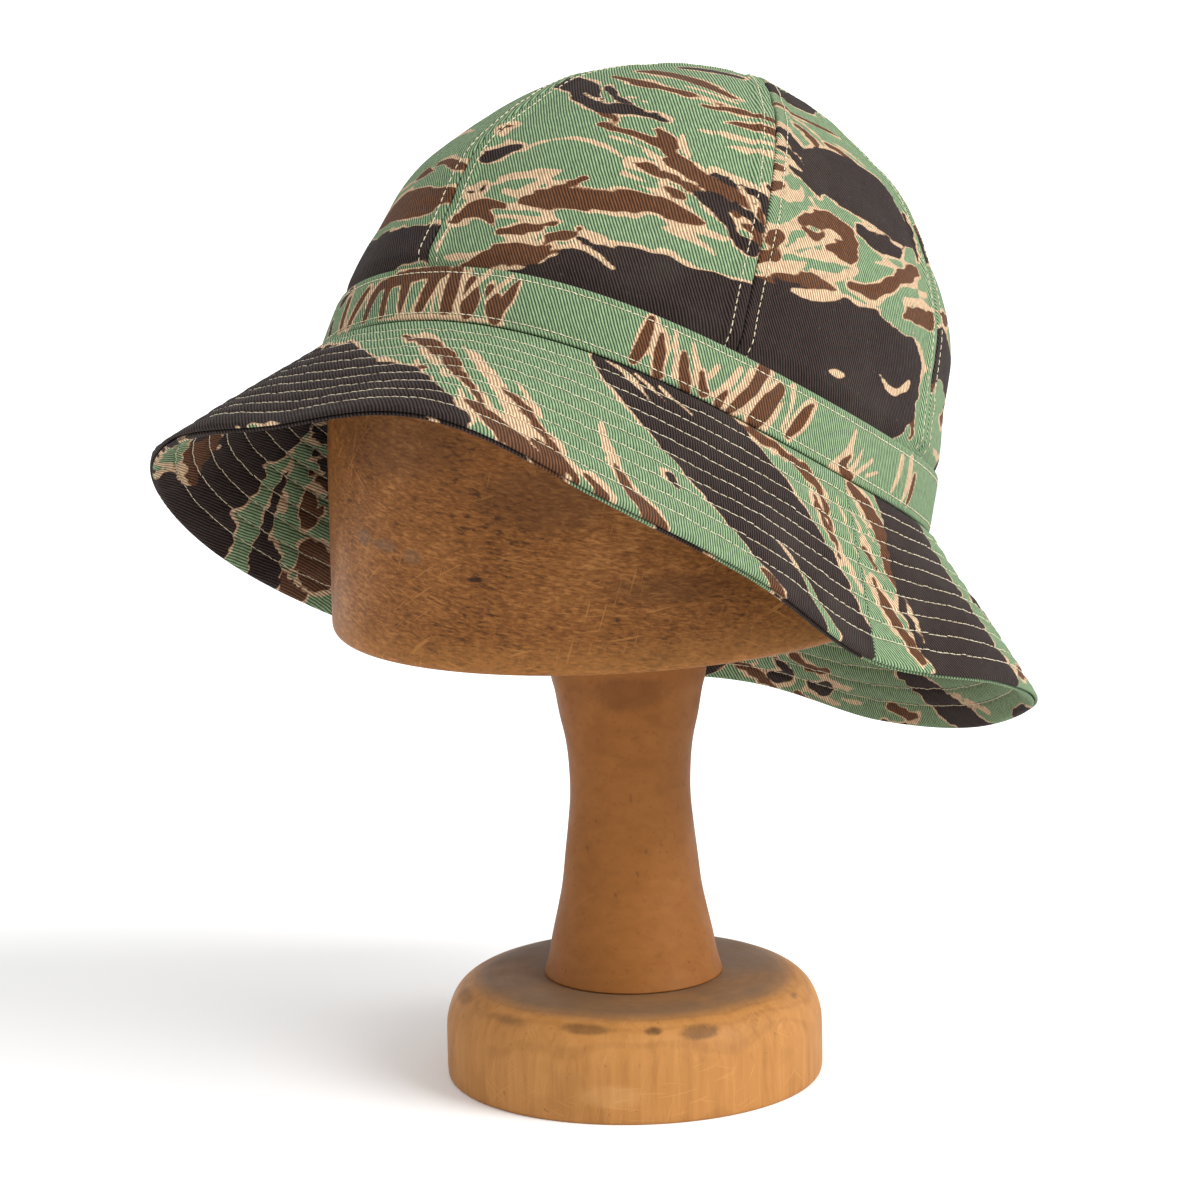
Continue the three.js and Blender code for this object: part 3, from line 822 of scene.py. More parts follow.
BAND = chart(
    brown=(
        ((-19, 3, 1.2), (-18, 9, 1.8), (-16, 13.5, 2), (-8, 15, 2.2), (0, 16, 2.2), (9, 17, 2.4)),
        ((-12, 14, 1.8), (-11, 8, 1.5), (-10, 3, 1)),
        ((-4, 15, 1.6), (-3, 9, 1.5), (-2, 3.5, 0.8)),
        ((7, 16, 2.2), (6, 10, 2), (5, 4, 1.5)),
        ((-28, 3, 0.8), (-26, 9, 1.7), (-23, 14, 1)),
        ((-36, 13, 1.4), (-35, 8, 1.5), (-33, 3, 0.9)),
        ((14, 18, 2), (14, 11, 2.4), (15, 4, 2)),
        ((20, 14, 1.6), (22, 8, 2.8), (22, 3, 1.8)),
        ((27, 12, 1.5), (30, 7, 2.8), (31, 3, 2.2)),
        ((35, 16, 0.7), (33, 10, 1.8), (31, 5, 1.6)),
        ((76, 17, 1), (75.5, 10, 1.9), (74, 3, 1.3)),
        ((80, 14, 0.6), (81, 8, 1.7), (82, 2, 1.6)),
        ((88, 11, 0.8), (90, 5, 1.9), (91, 1, 1.6)),
        ((95, 8, 0.7), (97, 3, 1.6)),
        ((104, 6, 0.7), (102, 2, 1.4)),
        ((114.5, 17.5, 2.4), (112.5, 11, 1.9), (109, 5, 1.5), (106, 1, 1)),
        ((121.5, 14, 1.9), (118, 8, 2.9), (115, 2, 2.4)),
        ((134.5, 15, 0.9), (131, 9, 1.9), (128, 3, 1.4)),
        ((154.5, 7, 0.6), (152, 3, 1.6), (157, 1.5, 0.8)),
        ((194, 12, 1.2), (193, 7, 1.4), (192, 3, 0.9)),
    ),
    black=(
        ((-43, 14, 1.8), (-38, 17, 1.3)),
        ((-47, 8, 1.6), (-44, 4, 1.4)),
    ),
    tan=(
        ((84, 16.5, 0.8), (86, 9, 1), (87, 3, 0.8)),
        ((90, 15, 0.7), (93.5, 8, 1.2), (94, 4, 0.6)),
        ((99.5, 12, 1), (97.5, 8, 1), (96, 6, 0.4)),
        ((106.5, 14, 1.3), (104.5, 9, 1.2), (100, 3, 0.8)),
        ((110, 15.5, 1), (108, 9, 0.9), (105, 4, 0.6)),
        ((126, 17, 1.3), (127, 11, 0.8), (125, 4, 0.5)),
        ((124, 12, 0.5), (121, 5, 0.9), (119, 1, 0.6)),
        ((155, 14.5, 0.8), (153.5, 8, 1.6), (150, 3, 2.2), (147, 1, 1)),
        ((160, 11, 0.5), (157.5, 5, 0.8), (155, 2, 0.5)),
        ((166, 9.5, 0.5), (161, 5, 0.8), (158, 2, 0.5)),
        ((170, 7, 0.4), (164, 4, 0.6)),
        ((183, 15, 1.5), (182, 9, 1.2), (180, 4, 0.7)),
        ((190, 16, 1.6), (190, 9, 1.5), (188, 3, 0.9)),
        ((8.5, 11, 0.4), (9.5, 7, 0.7), (10, 2, 0.9)),
        ((-8, 1.5, 0.5), (2, 1.5, 0.8), (10, 1.5, 0.8), (34, 1.5, 0.6)),
    ),
    over=(
        ((18.5, 17.5, 0.9), (17.5, 12, 0.8), (18, 7, 0.4)),
        ((25, 17.5, 1), (21.5, 12.5, 0.9), (19.5, 8, 0.4)),
        ((32.5, 17, 1), (29, 12, 0.9), (26.5, 7.5, 0.4)),
    ),
)

BRIM_FRONT = chart(
    black=(
        (
            (-80, 38, 26), (-50, 38, 29), (-34, 38, 28), (-19, 37, 26), (-4, 40, 20.5),
            (10, 44, 18), (22, 48, 17), (34, 54, 13), (47, 61, 8),
        ),
        (
            (84, -2, 4), (92, 0, 11), (103, 3, 17), (125, 16, 20.5), (146, 30, 22), (166, 45, 20.5),
            (183, 61, 17),
        ),
        ((112, 39, 1.5), (114, 42, 0.7)),
    ),
    brown=(
        (
            (12, 11, 0.8), (20, 12.5, 2), (27, 16, 2.5), (34, 22, 2.4), (39, 27, 2), (42, 33, 1.5),
            (47, 37, 1.6), (52, 43, 1.5), (56, 50, 1),
        ),
        ((53, 49, 1.2), (60, 54, 3), (65, 57.5, 4), (72, 61, 3)),
        (
            (58, 35.5, 0.6), (64, 40, 1.5), (69, 45, 1.8), (74, 50, 1.5), (79, 56, 1.5),
            (84, 61, 1.2),
        ),
        ((72, 55, 2), (78, 61, 3.2)),
        ((87, 58, 1.2), (92, 61.5, 1.7)),
        ((94, 46, 0.5), (97, 51.5, 1.4), (101, 56, 2), (106, 60, 2.2), (110, 62.5, 1.2)),
        ((140, 2, 0.7), (147, 3, 2), (153, 3, 2.1), (159, 3, 1.2)),
        (
            (160, 4, 0.8), (167, 5, 2.2), (174, 6.5, 2.8), (180, 10, 2), (183, 17, 1.3),
            (184.5, 24, 1.1), (186, 31, 0.8),
        ),
        ((176, 13, 0.7), (180, 19, 1.6), (183.5, 26, 1.2)),
        ((144, 58, 0.8), (149, 60.5, 1.7), (153, 62.5, 1.2)),
        ((28, 28, 0.7), (33, 33, 0.9)),
    ),
    tan=(
        ((24, 19.5, 0.6), (31, 25.5, 1.1), (37, 31.5, 1), (42, 38, 0.7)),
        (
            (38, 16.5, 0.5), (43, 21, 1.4), (49, 27, 2), (55, 34, 2.6), (61, 42, 2.8),
            (66, 50, 2.8), (71, 59, 2.4),
        ),
        ((67, 45, 0.7), (73, 51, 1.1), (80, 55, 0.9), (88, 60, 1.1)),
        ((60, 30, 0.4), (66, 36, 0.8), (73, 44, 0.8), (78, 50, 0.5)),
        (
            (87.5, 31, 0.6), (89, 35, 1.3), (91, 40, 1.6), (93.5, 45, 1.8), (97, 51, 1.2),
            (102, 57, 1.3), (108, 61, 1.2),
        ),
        ((48, 44, 0.5), (51, 50, 1), (55, 56, 0.7)),
        ((140, 6, 0.5), (150, 9, 0.8), (160, 14, 0.6)),
        ((186, 27, 0.8), (191, 33, 1.3), (196, 39, 1)),
        ((190, 8, 0.6), (193, 15, 1), (195, 22, 0.8), (199, 30, 0.6)),
        ((170, 3, 0.7), (179, 6, 0.8), (186, 12, 0.6)),
        ((-64, 60, 1), (-50, 58, 1.2), (-38, 60, 0.8)),
        ((-6, 60.5, 0.8), (10, 61, 1), (26, 61, 0.6)),
    ),
    over=(
        ((85, 1, 0.4), (92, 3.5, 0.8), (98, 7, 0.8), (103, 11, 0.4)),
        ((97, 2, 0.5), (104, 5, 0.8), (110, 9.5, 0.5)),
        ((107, 3, 0.5), (113, 5.5, 0.8), (120, 8.5, 0.4)),
    ),
    green=(
        ((89, 1, 0.6), (95, 4, 1.3), (100, 7.5, 0.7)),
        ((152, 42, 0.4), (160, 47, 0.9), (166, 52, 1.4), (172, 57, 2), (179, 62, 3)),
    ),
)

BRIM_BACK = chart(
    black=(
        ((239, -8, 20), (239, 10, 19.5), (238, 25, 22), (238, 40, 23), (243, 56, 21)),
    ),
    brown=(
        ((200, 2, 1), (206, 4, 2.6), (212, 9, 4.4), (216, 17, 5), (216, 27, 4), (216, 34, 3)),
        ((203, 33, 0.8), (206, 38, 1.6), (210, 44, 2.4), (214, 51, 2.2), (218, 58, 1.4)),
        ((201, 22, 0.6), (205, 26, 1.6), (210, 31, 1.6)),
        ((268, 58, 1.2), (276, 55, 2.2), (284, 52, 1.2)),
    ),
    tan=(
        ((198, 30, 0.7), (202, 37, 1.2), (206, 45, 1), (211, 52, 1), (217, 59, 1)),
        ((199, 12, 0.6), (203, 19, 1), (207, 25, 0.6)),
    ),
    over=(
        ((201, 6, 0.4), (205, 12, 0.9), (209, 20, 0.5)),
        ((219, 35, 0.6), (220, 44, 1.2), (221, 51, 0.6)),
    ),
    green=(
        ((202, 9, 0.6), (207, 15, 1.5), (212, 20, 0.7)),
        ((206, 25, 0.6), (211, 31, 1.7), (215, 36, 0.7)),
    ),
)

UNDER_FRONT = chart(
    black=(
        ((-38, 12, 16), (-60, 14, 19), (-76, 14, 20), (-94, 18, 22), (-110, 18, 12), (-117, 14, 5)),
        ((-50, 40, 10), (-60, 42, 8)),
        (
            (-112, 63.5, 2.4), (-80, 64, 2.2), (-50, 63.5, 2.4), (-20, 62.5, 2.8), (10, 62.5, 3),
            (34, 62.5, 3), (45, 62.5, 1.6),
        ),
        ((148, 64, 1.6), (160, 62.5, 3), (175, 62, 3.4), (192, 62.5, 3)),
        ((-92, 39, 6), (-100, 42, 8), (-108, 44, 10.5), (-114, 38, 7)),
        ((-82, 60, 5), (-94, 60, 7), (-108, 57, 9.5), (-117, 57, 8.5), (-123, 62, 6)),
        ((-127, 26, 0.8), (-130, 36, 1.6), (-135, 46, 2), (-138, 54, 3), (-143, 61, 3)),
        ((-141, 50, 1.6), (-146, 56, 5), (-151, 62, 5)),
        ((-128, 8, 6), (-140, 8, 7), (-156, 8, 8), (-176, 8, 8)),
        ((-134, 18, 1), (-144, 20, 2), (-156, 22, 2.2)),
    ),
    brown=(
        ((-71, 45, 5.5), (-79, 44, 6.5), (-88, 46, 5.5), (-96, 49, 3), (-101, 50, 1)),
        ((-129, 30, 1), (-132, 40, 1.8), (-137, 48, 1.6)),
        ((-144, 30, 1.5), (-150, 34, 4), (-155, 38, 3.4), (-158, 33, 2)),
        ((-158, 46, 2), (-164, 48, 6), (-172, 50, 7), (-182, 50, 6)),
        ((-154, 57, 1.5), (-164, 60, 3), (-173, 60, 2)),
        ((-126, 14, 0.8), (-134, 12, 1.4), (-146, 12, 1)),
        ((-140, 24, 0.6), (-150, 25, 1.4), (-162, 28, 1)),
    ),
    tan=(
        ((-72, 57, 1), (-84, 54, 1.6), (-94, 52, 1.8), (-103, 51, 1.6)),
        ((-103, 51, 0.8), (-108, 56, 0.9), (-112, 62, 0.8)),
        ((-133, 35, 1.4), (-137, 37, 1.6), (-139, 41, 0.6)),
        ((-141, 50, 0.8), (-144, 54, 0.8), (-147, 58, 0.7)),
        ((-148, 55, 1.4), (-151, 57, 2), (-153, 61, 1.2)),
        ((-121, 20, 0.5), (-128, 16, 0.8), (-136, 16, 0.6)),
    ),
    over=(
        ((-66, 61, 0.7), (-72, 58, 1), (-79, 61, 0.6)),
        ((-124, 11, 0.4), (-130, 9, 0.7), (-140, 5, 0.5)),
        ((-133, 22, 0.4), (-142, 18, 0.8), (-154, 15, 0.6)),
    ),
)

UNDER_BACK = chart(
    black=(
        ((378, 42, 3), (369, 47, 5), (360, 54, 6), (350, 59, 5.5), (342, 64, 4)),
        ((394, 63, 1.6), (386, 62, 1.4)),
        ((413, 52, 1.8), (417, 55, 2.4), (421, 53, 1.2)),
        ((430, 48, 1.4), (426, 52, 2), (432, 56, 2)),
        ((326, 64, 2), (318, 62, 3), (308, 63, 3)),
    ),
    brown=(
        ((389, 55, 0.8), (384, 57, 1.6), (379, 57, 0.8)),
        ((424, 44, 1.6), (418, 47, 1.8), (412, 46, 1)),
        ((444, 52, 1.6), (438, 55, 2.2), (433, 60, 1.4)),
        ((425, 60, 1), (418, 62, 1.4)),
    ),
    tan=(
        ((402, 50, 0.5), (408, 51, 1.5), (414, 49, 1.6), (419, 47, 0.8)),
        ((398, 54, 0.5), (403, 56, 1.1), (409, 56, 0.5)),
        ((422, 57, 0.8), (416, 58, 1.6), (410, 59, 0.7)),
        ((352, 49, 0.5), (344, 53, 1), (336, 57, 0.7)),
        ((436, 50, 1), (441, 56, 1.2)),
        ((381, 60, 0.6), (377, 56, 0.8)),
    ),
)

CROWN_PRINTS = (
    TigerPrint(101, FRONT_PANEL, 0, -56, 56, 14, 156, -4),
    TigerPrint(102, RIGHT_PANEL, 7, -24, 40, 112, 156, 4),
    TigerPrint(103, (), 46, -56, 56, 14, 156, 3),
    TigerPrint(104, (), 46, -56, 56, 14, 156, -1),
    TigerPrint(105, (), 46, -56, 56, 14, 156, -5),
    TigerPrint(106, LEFT_PANEL, 9, -40, 30, 76, 156, 2),
)
BAND_PRINT = TigerPrint(122, BAND, 80, 240, 545, 0, 19, tilt=82, wave=0.4, edging=0.9)
BRIM_PRINTS = {
    (Layer.UPPER, Half.FRONT): TigerPrint(165, BRIM_FRONT, 34, -197, -70, 0, 62, 35),
    (Layer.UPPER, Half.BACK): TigerPrint(345, BRIM_BACK, 70, 275, 593, 0, 62, 35),
    (Layer.UNDER, Half.FRONT): TigerPrint(165, UNDER_FRONT, 60, -40, 197, 0, 62, 35),
    (Layer.UNDER, Half.BACK): TigerPrint(345, UNDER_BACK, 50, 425, 593, 0, 62, 35),
}


# The hat's cloth pieces


@dataclass(frozen=True)
class CrownPanel:
    """One of the crown's six panels: a wall of cloth between two felled seams that stand proud.
    Wrinkles have their share of the height, the width and length of a lump in mm, and a seed."""

    form: HatForm
    number: int
    cloth: TigerPrint
    seam_rise: float = 0.7 * MM
    groove: float = 0.55 * MM
    row_dip: float = 0.22 * MM
    pucker: float = 0.16 * MM
    wrinkle: float = 0.55 * MM
    row_place: float = 0.8
    row_width: float = 0.6 * MM
    groove_width: float = 0.5 * MM
    fold_share: float = 0.2
    slope_share: float = 0.08
    pucker_reach: float = 1.3
    pucker_size: tuple = (3.2, 4 * MM)
    wrinkle_sizes: tuple = ((0.7, 23, 17, 6), (0.3, 8, 6, 7))
    tip_fade: float = 0.12
    near_share: float = 0.09
    hidden_rows: int = 5
    inner_rows: int = 14
    step: float = 0.01
    near_columns: int = 15
    far_columns: int = 96
    rows: int = 150

    def shares(self) -> Array:
        """Columns across the panel as shares of its width, close together beside the seams."""
        near = self.near_share
        edge = np.linspace(0, near, self.near_columns)
        middle = np.linspace(near, 1 - near, self.far_columns)[1:-1]
        return np.concatenate([edge, middle, 1 - edge[::-1]])

    def ways(self, count: int) -> Array:
        """Rows up the panel, evenly spaced along the cloth, with few of them under the band."""
        form = self.form
        seat = form.way_at_height(2 * form.cloth_gap)
        band_top = form.way_at_height(form.band_height - 2 * MM)
        ways = np.linspace(0, form.tip_way(), FINE)
        length = form.crown_length(ways)
        even = np.linspace(form.crown_length(band_top), length[-1], count)
        hidden = np.linspace(seat, band_top, self.hidden_rows)[:-1]
        return np.concatenate([hidden, np.interp(even, length, ways)])

    def lay(self, share: Array, way: Array) -> tuple[Array, Array, Array]:
        """Angle of each place, its distance from the panel's first seam and the panel's width."""
        form = self.form
        start, end = form.seam_angle(self.number, way), form.seam_angle(self.number + 1, way)
        middle = (start + end) / 2
        pair = form.crown(middle + self.step, way) - form.crown(middle - self.step, way)
        pace = np.linalg.norm(pair, axis=-1) / (2 * self.step)
        span = (end - start) * pace
        gap = form.cloth_gap / 2
        distance = gap + share * (span - 2 * gap)
        return start + distance / pace, distance, span

    def fold(self, span: Array) -> Array:
        """Half width of the raised seam, which narrows with the panel near the apex."""
        return np.minimum(self.form.seam_width / 2, span * self.fold_share)

    def relief(self, share: Array, way: Array) -> Array:
        """How far the cloth stands out: a flat ridge along each seam with a groove at the seam line
        and at its stitching, small puckers across it, and soft wrinkles everywhere."""
        form = self.form
        _, distance, span = self.lay(share, way)
        near = np.minimum(distance, span - distance)
        fold = self.fold(span)
        slope = np.minimum(form.seam_width / 4, span * self.slope_share)
        lift = 1 - smooth_step(0, 1, (near - fold) / slope)
        seam = self.number + (share > 0.5)
        length = form.crown_length(way) / MM
        beside = np.exp(-((near / (self.pucker_reach * fold)) ** 2))
        ridge = self.seam_rise * lift - self.groove * np.exp(-((near / self.groove_width) ** 2))
        rows = self.row_dip * np.exp(-(((near - self.row_place * fold) / self.row_width) ** 2))
        run, width = self.pucker_size
        puckers = self.pucker * beside * lattice_noise(length / run + 31 * seam, near / width, 5)
        across = (distance - span / 2) / MM
        wrinkles = self.wrinkle * sum(
            part * lattice_noise(across / width + 9 * self.number, length / run, seed)
            for part, width, run, seed in self.wrinkle_sizes
        )
        fade = smooth_step(0, self.tip_fade, 1 - way / form.tip_way())
        return form.above_band(way) * (ridge - rows + (puckers + wrinkles) * fade)

    def flat_place(self, share: Array, way: Array) -> Array:
        """Where each place lies on the flat cloth: across from the panel's middle line, and up."""
        _, distance, span = self.lay(share, way)
        across, up = np.broadcast_arrays(distance - span / 2, self.form.crown_length(way))
        return np.stack([across, up], -1)

    def build(self) -> Piece:
        """Makes the panel's mesh and its cloth map.

        Returns:
            The panel.
        """
        form = self.form
        outer, inner = self.ways(self.rows), self.ways(self.inner_rows)
        share = self.shares()[:, None]
        outside = self.face(share, outer, lambda way: -self.relief(share, way))
        inside = self.face(share, inner, lambda way: form.crown_wall)
        name = f"crown_cloth_{self.number + 1}"
        piece = wall_mesh(name, form.place(outside), form.place(inside), outer, inner)
        all_ways = np.concatenate([outer, inner[::-1]])[None, :]
        places = self.flat_place(share, all_ways).reshape(-1, 2)
        put_cloth_map(piece, places, self.cloth.fields(*(places / MM).T))
        return piece

    def face(self, share: Array, rows: Array, depth: Callable[[Array], Array]) -> Array:
        """Points of one face by column and row, at a depth below where the cloth's outside lies."""
        angle = self.lay(share, rows[None, :])[0]
        way = np.broadcast_to(rows, angle.shape)
        return self.form.crown_under(angle, way, self.form.crown_inset(way) + depth(way))

    def stitches(self, length: float) -> Array:
        """Rows of points along both seams of the panel, on the cloth, with their outward vectors.

        Args:
            length: distance from one stitch to the next.

        Returns:
            For each stitch its middle, its direction and its outward direction.
        """
        form = self.form
        start = form.crown_length(form.way_at_height(form.band_height - 1 * MM))
        count = int((form.crown_length(form.tip_way()) - start) / length) - 2
        lengths = start + length * (np.arange(count) + 0.5)
        ways = np.linspace(0, 1, FINE)
        way = np.interp(lengths, form.crown_length(ways), ways)
        span = self.lay(np.zeros_like(way), way)[2]
        share = self.row_place * self.fold(span) / span
        return np.concatenate([self.surface_frame(side, way) for side in (share, 1 - share)])

    def surface_frame(self, share: Array, way: Array) -> Array:
        """Points of the panel's outside with the direction up the cloth and the outward one."""
        def point(at: Array) -> Array:
            angle = self.lay(share, at)[0]
            depth = self.form.crown_inset(at) - self.relief(share, at)
            return self.form.place(self.form.crown_under(angle, at, depth))

        here, above = point(way), point(way + 0.002)
        angle = self.lay(share, way)[0]
        origin = self.form.place(np.zeros((1, 3)))
        outward = self.form.place(self.form.crown_outward(angle, way)) - origin
        return np.stack([here, unit(above - here), outward], 1)


@dataclass(frozen=True)
class HatBand:
    """The band round the crown's foot, one strip of cloth whose ends meet at the back. Ripples
    have their share of the wrinkles' height, the length and height of a lump, and a seed."""

    form: HatForm
    cloth: TigerPrint
    columns: int = 620
    rows: int = 26
    edge_round: float = 0.55 * MM
    row_dip: float = 0.25 * MM
    wrinkle: float = 0.3 * MM
    row_inset: float = 2.2 * MM
    row_width: float = 0.7 * MM
    ripple_sizes: tuple = ((0.65, 19, 12 * MM, 9), (0.35, 3.4, 9 * MM, 8))
    edge_fade: float = 2 * MM
    crowding: float = 0.12
    step: float = 0.01
    inner_rows: tuple = (0, 9, 17, -1)
    chart_start: float = 60 * MM

    def heights(self) -> Array:
        """Rows up the band, close together at its edges."""
        low, high = 2 * self.form.cloth_gap, self.form.band_height
        even = np.linspace(0, 1, self.rows)
        return low + (high - low) * (even - self.crowding * np.sin(TAU * even))

    def angles(self) -> Array:
        """Columns round the band from the back over the front to the back."""
        half = math.pi - self.form.cloth_gap / self.form.width
        return np.linspace(-half, half, self.columns)

    def relief(self, angle: Array, height: Array) -> Array:
        """How far the band stands out: rounded edges, a dip at each stitch row, soft wrinkles."""
        low, high = 2 * self.form.cloth_gap, self.form.band_height
        near = np.minimum(height - low, high - height)
        edge = np.clip(1 - near / (2 * self.edge_round), 0, 1)
        rounded = -self.edge_round * (1 - np.sqrt(1 - edge**2))
        dip = self.row_dip * np.exp(-(((near - self.row_inset) / self.row_width) ** 2))
        along = self.form.joint_length(angle) / MM
        ripples = sum(
            part * lattice_noise(along / run, height / width, seed)
            for part, run, width, seed in self.ripple_sizes
        )
        return rounded - dip + self.wrinkle * ripples * smooth_step(0, self.edge_fade, near)

    def point(self, angle: Array, height: Array, depth: Array) -> Array:
        """A point of the band at a height above the joint, under its outside by a depth."""
        levels = np.linspace(0, self.form.band_height, 60)
        ways = np.array([self.form.way_at_height(level) for level in levels])
        return self.form.place(self.form.crown_under(angle, np.interp(height, levels, ways), depth))

    def build(self) -> Piece:
        """Makes the band's mesh and its cloth map.

        Returns:
            The band.
        """
        outer = self.heights()
        inner = outer[list(self.inner_rows)]
        angle = self.angles()[:, None]
        outside_angle, height = np.broadcast_arrays(angle, outer[None, :])
        outside = self.point(outside_angle, height, -self.relief(outside_angle, height))
        inside_angle, level = np.broadcast_arrays(angle, inner[None, :])
        inside = self.point(inside_angle, level, np.full(level.shape, self.form.band_wall))
        piece = wall_mesh("hat_band_cloth", outside, inside, outer, inner)
        levels = np.concatenate([outer, inner[::-1]])[None, :]
        along, level = np.broadcast_arrays(self.form.joint_length(angle), levels)
        places = np.stack([along, level], -1).reshape(-1, 2)
        round_the_back = self.form.joint_length(TAU) * (places[:, 0] < -self.chart_start)
        fields = self.cloth.fields((places[:, 0] + round_the_back) / MM, places[:, 1] / MM)
        put_cloth_map(piece, places, fields)
        return piece

    def stitches(self, length: float) -> Array:
        """Two rows of stitches along the band's edges: middles, directions, outward directions."""
        form = self.form
        angles = np.linspace(-math.pi, math.pi, 4001)
        ends = form.joint_length(angles)
        count = int((ends[-1] - ends[0]) / length)
        angle = np.interp(ends[0] + length * (np.arange(count) + 0.5), ends, angles)
        found = []
        for height in (2 * form.cloth_gap + self.row_inset, form.band_height - self.row_inset):
            level = np.full_like(angle, height)
            here = self.point(angle, level, -self.relief(angle, level))
            after = angle + self.step
            beside = self.point(after, level, -self.relief(after, level))
            outward = unit(here - self.point(angle, level, np.full_like(angle, 2 * MM)))
            found.append(np.stack([here, unit(beside - here), outward], 1))
        return np.concatenate(found)


@dataclass(frozen=True)
class Brim:
    """One layer of one half of the brim, quilted by its rows of stitching on its open face."""

    form: HatForm
    layer: Layer
    half: Half
    cloth: TigerPrint
    columns: int = 372
    puff: float = 0.45 * MM
    groove: float = 0.25 * MM
    pucker: float = 0.16 * MM
    wrinkle: float = 0.5 * MM
    row_sway: float = 0.22 * MM
    row_width: float = 0.55 * MM
    edge_round: float = 1.2 * MM
    puff_shape: float = 0.6
    pucker_size: tuple = (3.1, 2.6 * MM)
    wrinkle_size: tuple = (26, 19 * MM)
    joint_fade: float = 3 * MM
    edge_fade: float = 0.985
    sway_length: float = 4 * MM
    bend_rows: int = 7
    step: float = 0.008
    rows_between: int = 8
    mean_droop: float = 50 * RAD

    @property
    def name(self) -> str:
        """The piece's name."""
        return f"brim_{self.layer.value}_{self.half.name.lower()}_cloth"

    @property
    def side(self) -> int:
        """1 where the open face is the upper one, and -1 where it is the under one."""
        return 1 if self.layer is Layer.UPPER else -1

    @property
    def open_depth(self) -> float:
        """Depth of the open face."""
        return 0.0 if self.layer is Layer.UPPER else 2 * self.form.brim_wall + self.form.cloth_gap

    @property
    def hidden_depth(self) -> float:
        """Depth of the face that lies against the other layer."""
        return self.form.brim_wall + (0 if self.layer is Layer.UPPER else self.form.cloth_gap)

    def distances(self) -> Array:
        """Rows across the open face: even steps between stitch rows, and close at the edge."""
        rows = self.form.stitch_rows()
        stops = np.concatenate([[0], rows, [self.form.brim_width - self.edge_round]])
        steps = np.linspace(0, 1, self.rows_between, endpoint=False)
        fine = (stops[:-1, None] + np.diff(stops)[:, None] * steps).ravel()
        bend = np.linspace(0, 1, self.bend_rows) * math.pi / 2
        edge = self.form.brim_width - self.edge_round * (1 - np.sin(bend))
        crown_stack = self.form.band_stack() + self.form.crown_wall
        return np.concatenate([[-crown_stack, -crown_stack / 2], fine, edge])

    def angles(self) -> Array:
        """Columns round the half, a little short of the other half at both ends."""
        middle = self.half.value * RAD
        inset = self.form.cloth_gap / self.form.width
        quarter = math.pi / 2 - inset
        return middle + np.linspace(-quarter, quarter, self.columns)

    def edge_turn(self, distance: Array) -> tuple[Array, Array]:
        """How far into the rounded edge a place lies, and how far the edge has fallen there, both
        as shares."""
        turn = np.clip(1 - (self.form.brim_width - distance) / self.edge_round, 0, 1)
        return turn, 1 - np.sqrt(1 - turn**2)

    def relief(self, angle: Array, distance: Array) -> Array:
        """How far the open face stands out: puffed between stitch rows, with a groove at each,
        small puckers from the stitching, soft waves, and a rounded outer edge."""
        form = self.form
        rows = np.concatenate([[0], form.stitch_rows(), [form.brim_width]])
        step = np.clip(np.searchsorted(rows, distance, side="right") - 1, 0, len(rows) - 2)
        share = np.clip((distance - rows[step]) / (rows[step + 1] - rows[step]), 0, 1)
        puffed = self.puff * (4 * share * (1 - share)) ** self.puff_shape
        near = np.abs(distance[..., None] - form.stitch_rows()).min(-1)
        dip = self.groove * np.exp(-((near / self.row_width) ** 2))
        along = form.joint_length(angle) / MM * (1 + distance / (form.length / 2))
        seed = 10 + 7 * self.side
        run, width = self.pucker_size
        puckers = self.pucker * lattice_noise(along / run, distance / width, seed)
        run, width = self.wrinkle_size
        waves = self.wrinkle * lattice_noise(along / run, distance / width, seed + 1)
        edge = 1 - smooth_step(self.edge_fade, 1.0, distance / form.brim_width)
        inside = smooth_step(0, self.joint_fade, distance) * edge
        turn, fall = self.edge_turn(distance)
        rounded = -(form.brim_wall / 2) * fall
        fade = np.where(distance < 0, 0, 1)
        return fade * ((puffed - dip) * (1 - turn) + (puckers + waves) * inside + rounded)

    def build(self) -> Piece:
        """Makes the layer's mesh and its cloth map.

        Returns:
            The layer.
        """
        form = self.form
        outer = self.distances()
        inner = np.concatenate([outer[[0]], np.linspace(0, form.brim_width - 0.6 * MM, 12)])
        inner = np.concatenate([inner, [form.brim_width - 0.1 * MM]])
        angle = self.angles()[:, None]
        open_angle, distance = np.broadcast_arrays(angle, outer[None, :])
        depth = self.open_depth - self.side * self.relief(open_angle, distance)
        outside = form.brim(open_angle, distance, depth)
        hidden_angle, level = np.broadcast_arrays(angle, inner[None, :])
        fall = self.edge_turn(level)[1]
        depth = self.hidden_depth - self.side * 0.3 * form.brim_wall * fall
        inside = form.brim(hidden_angle, level, depth)
        piece = wall_mesh(self.name, form.place(outside), form.place(inside), outer, inner)
        levels = np.concatenate([outer, inner[::-1]])[None, :]
        along, level = np.broadcast_arrays(form.joint_length(angle), levels)
        chart = along * (1 + form.brim_width / form.length)
        fields = self.cloth.fields(chart.ravel() / MM, level.ravel() / MM)
        put_cloth_map(piece, self.flat_place(along, level).reshape(-1, 2), fields)
        return piece

    def flat_place(self, along: Array, distance: Array) -> Array:
        """Where each place lies on the flat cloth: a ring cut as wide as the cone that it makes,
        measured from the middle of the half."""
        form = self.form
        radius = (form.length + form.width) / 4 / math.cos(self.mean_droop)
        turn = (along - form.joint_length(self.half.value * RAD)) / radius
        reach = radius + distance
        return np.stack([reach * np.sin(turn), -reach * np.cos(turn)], -1)

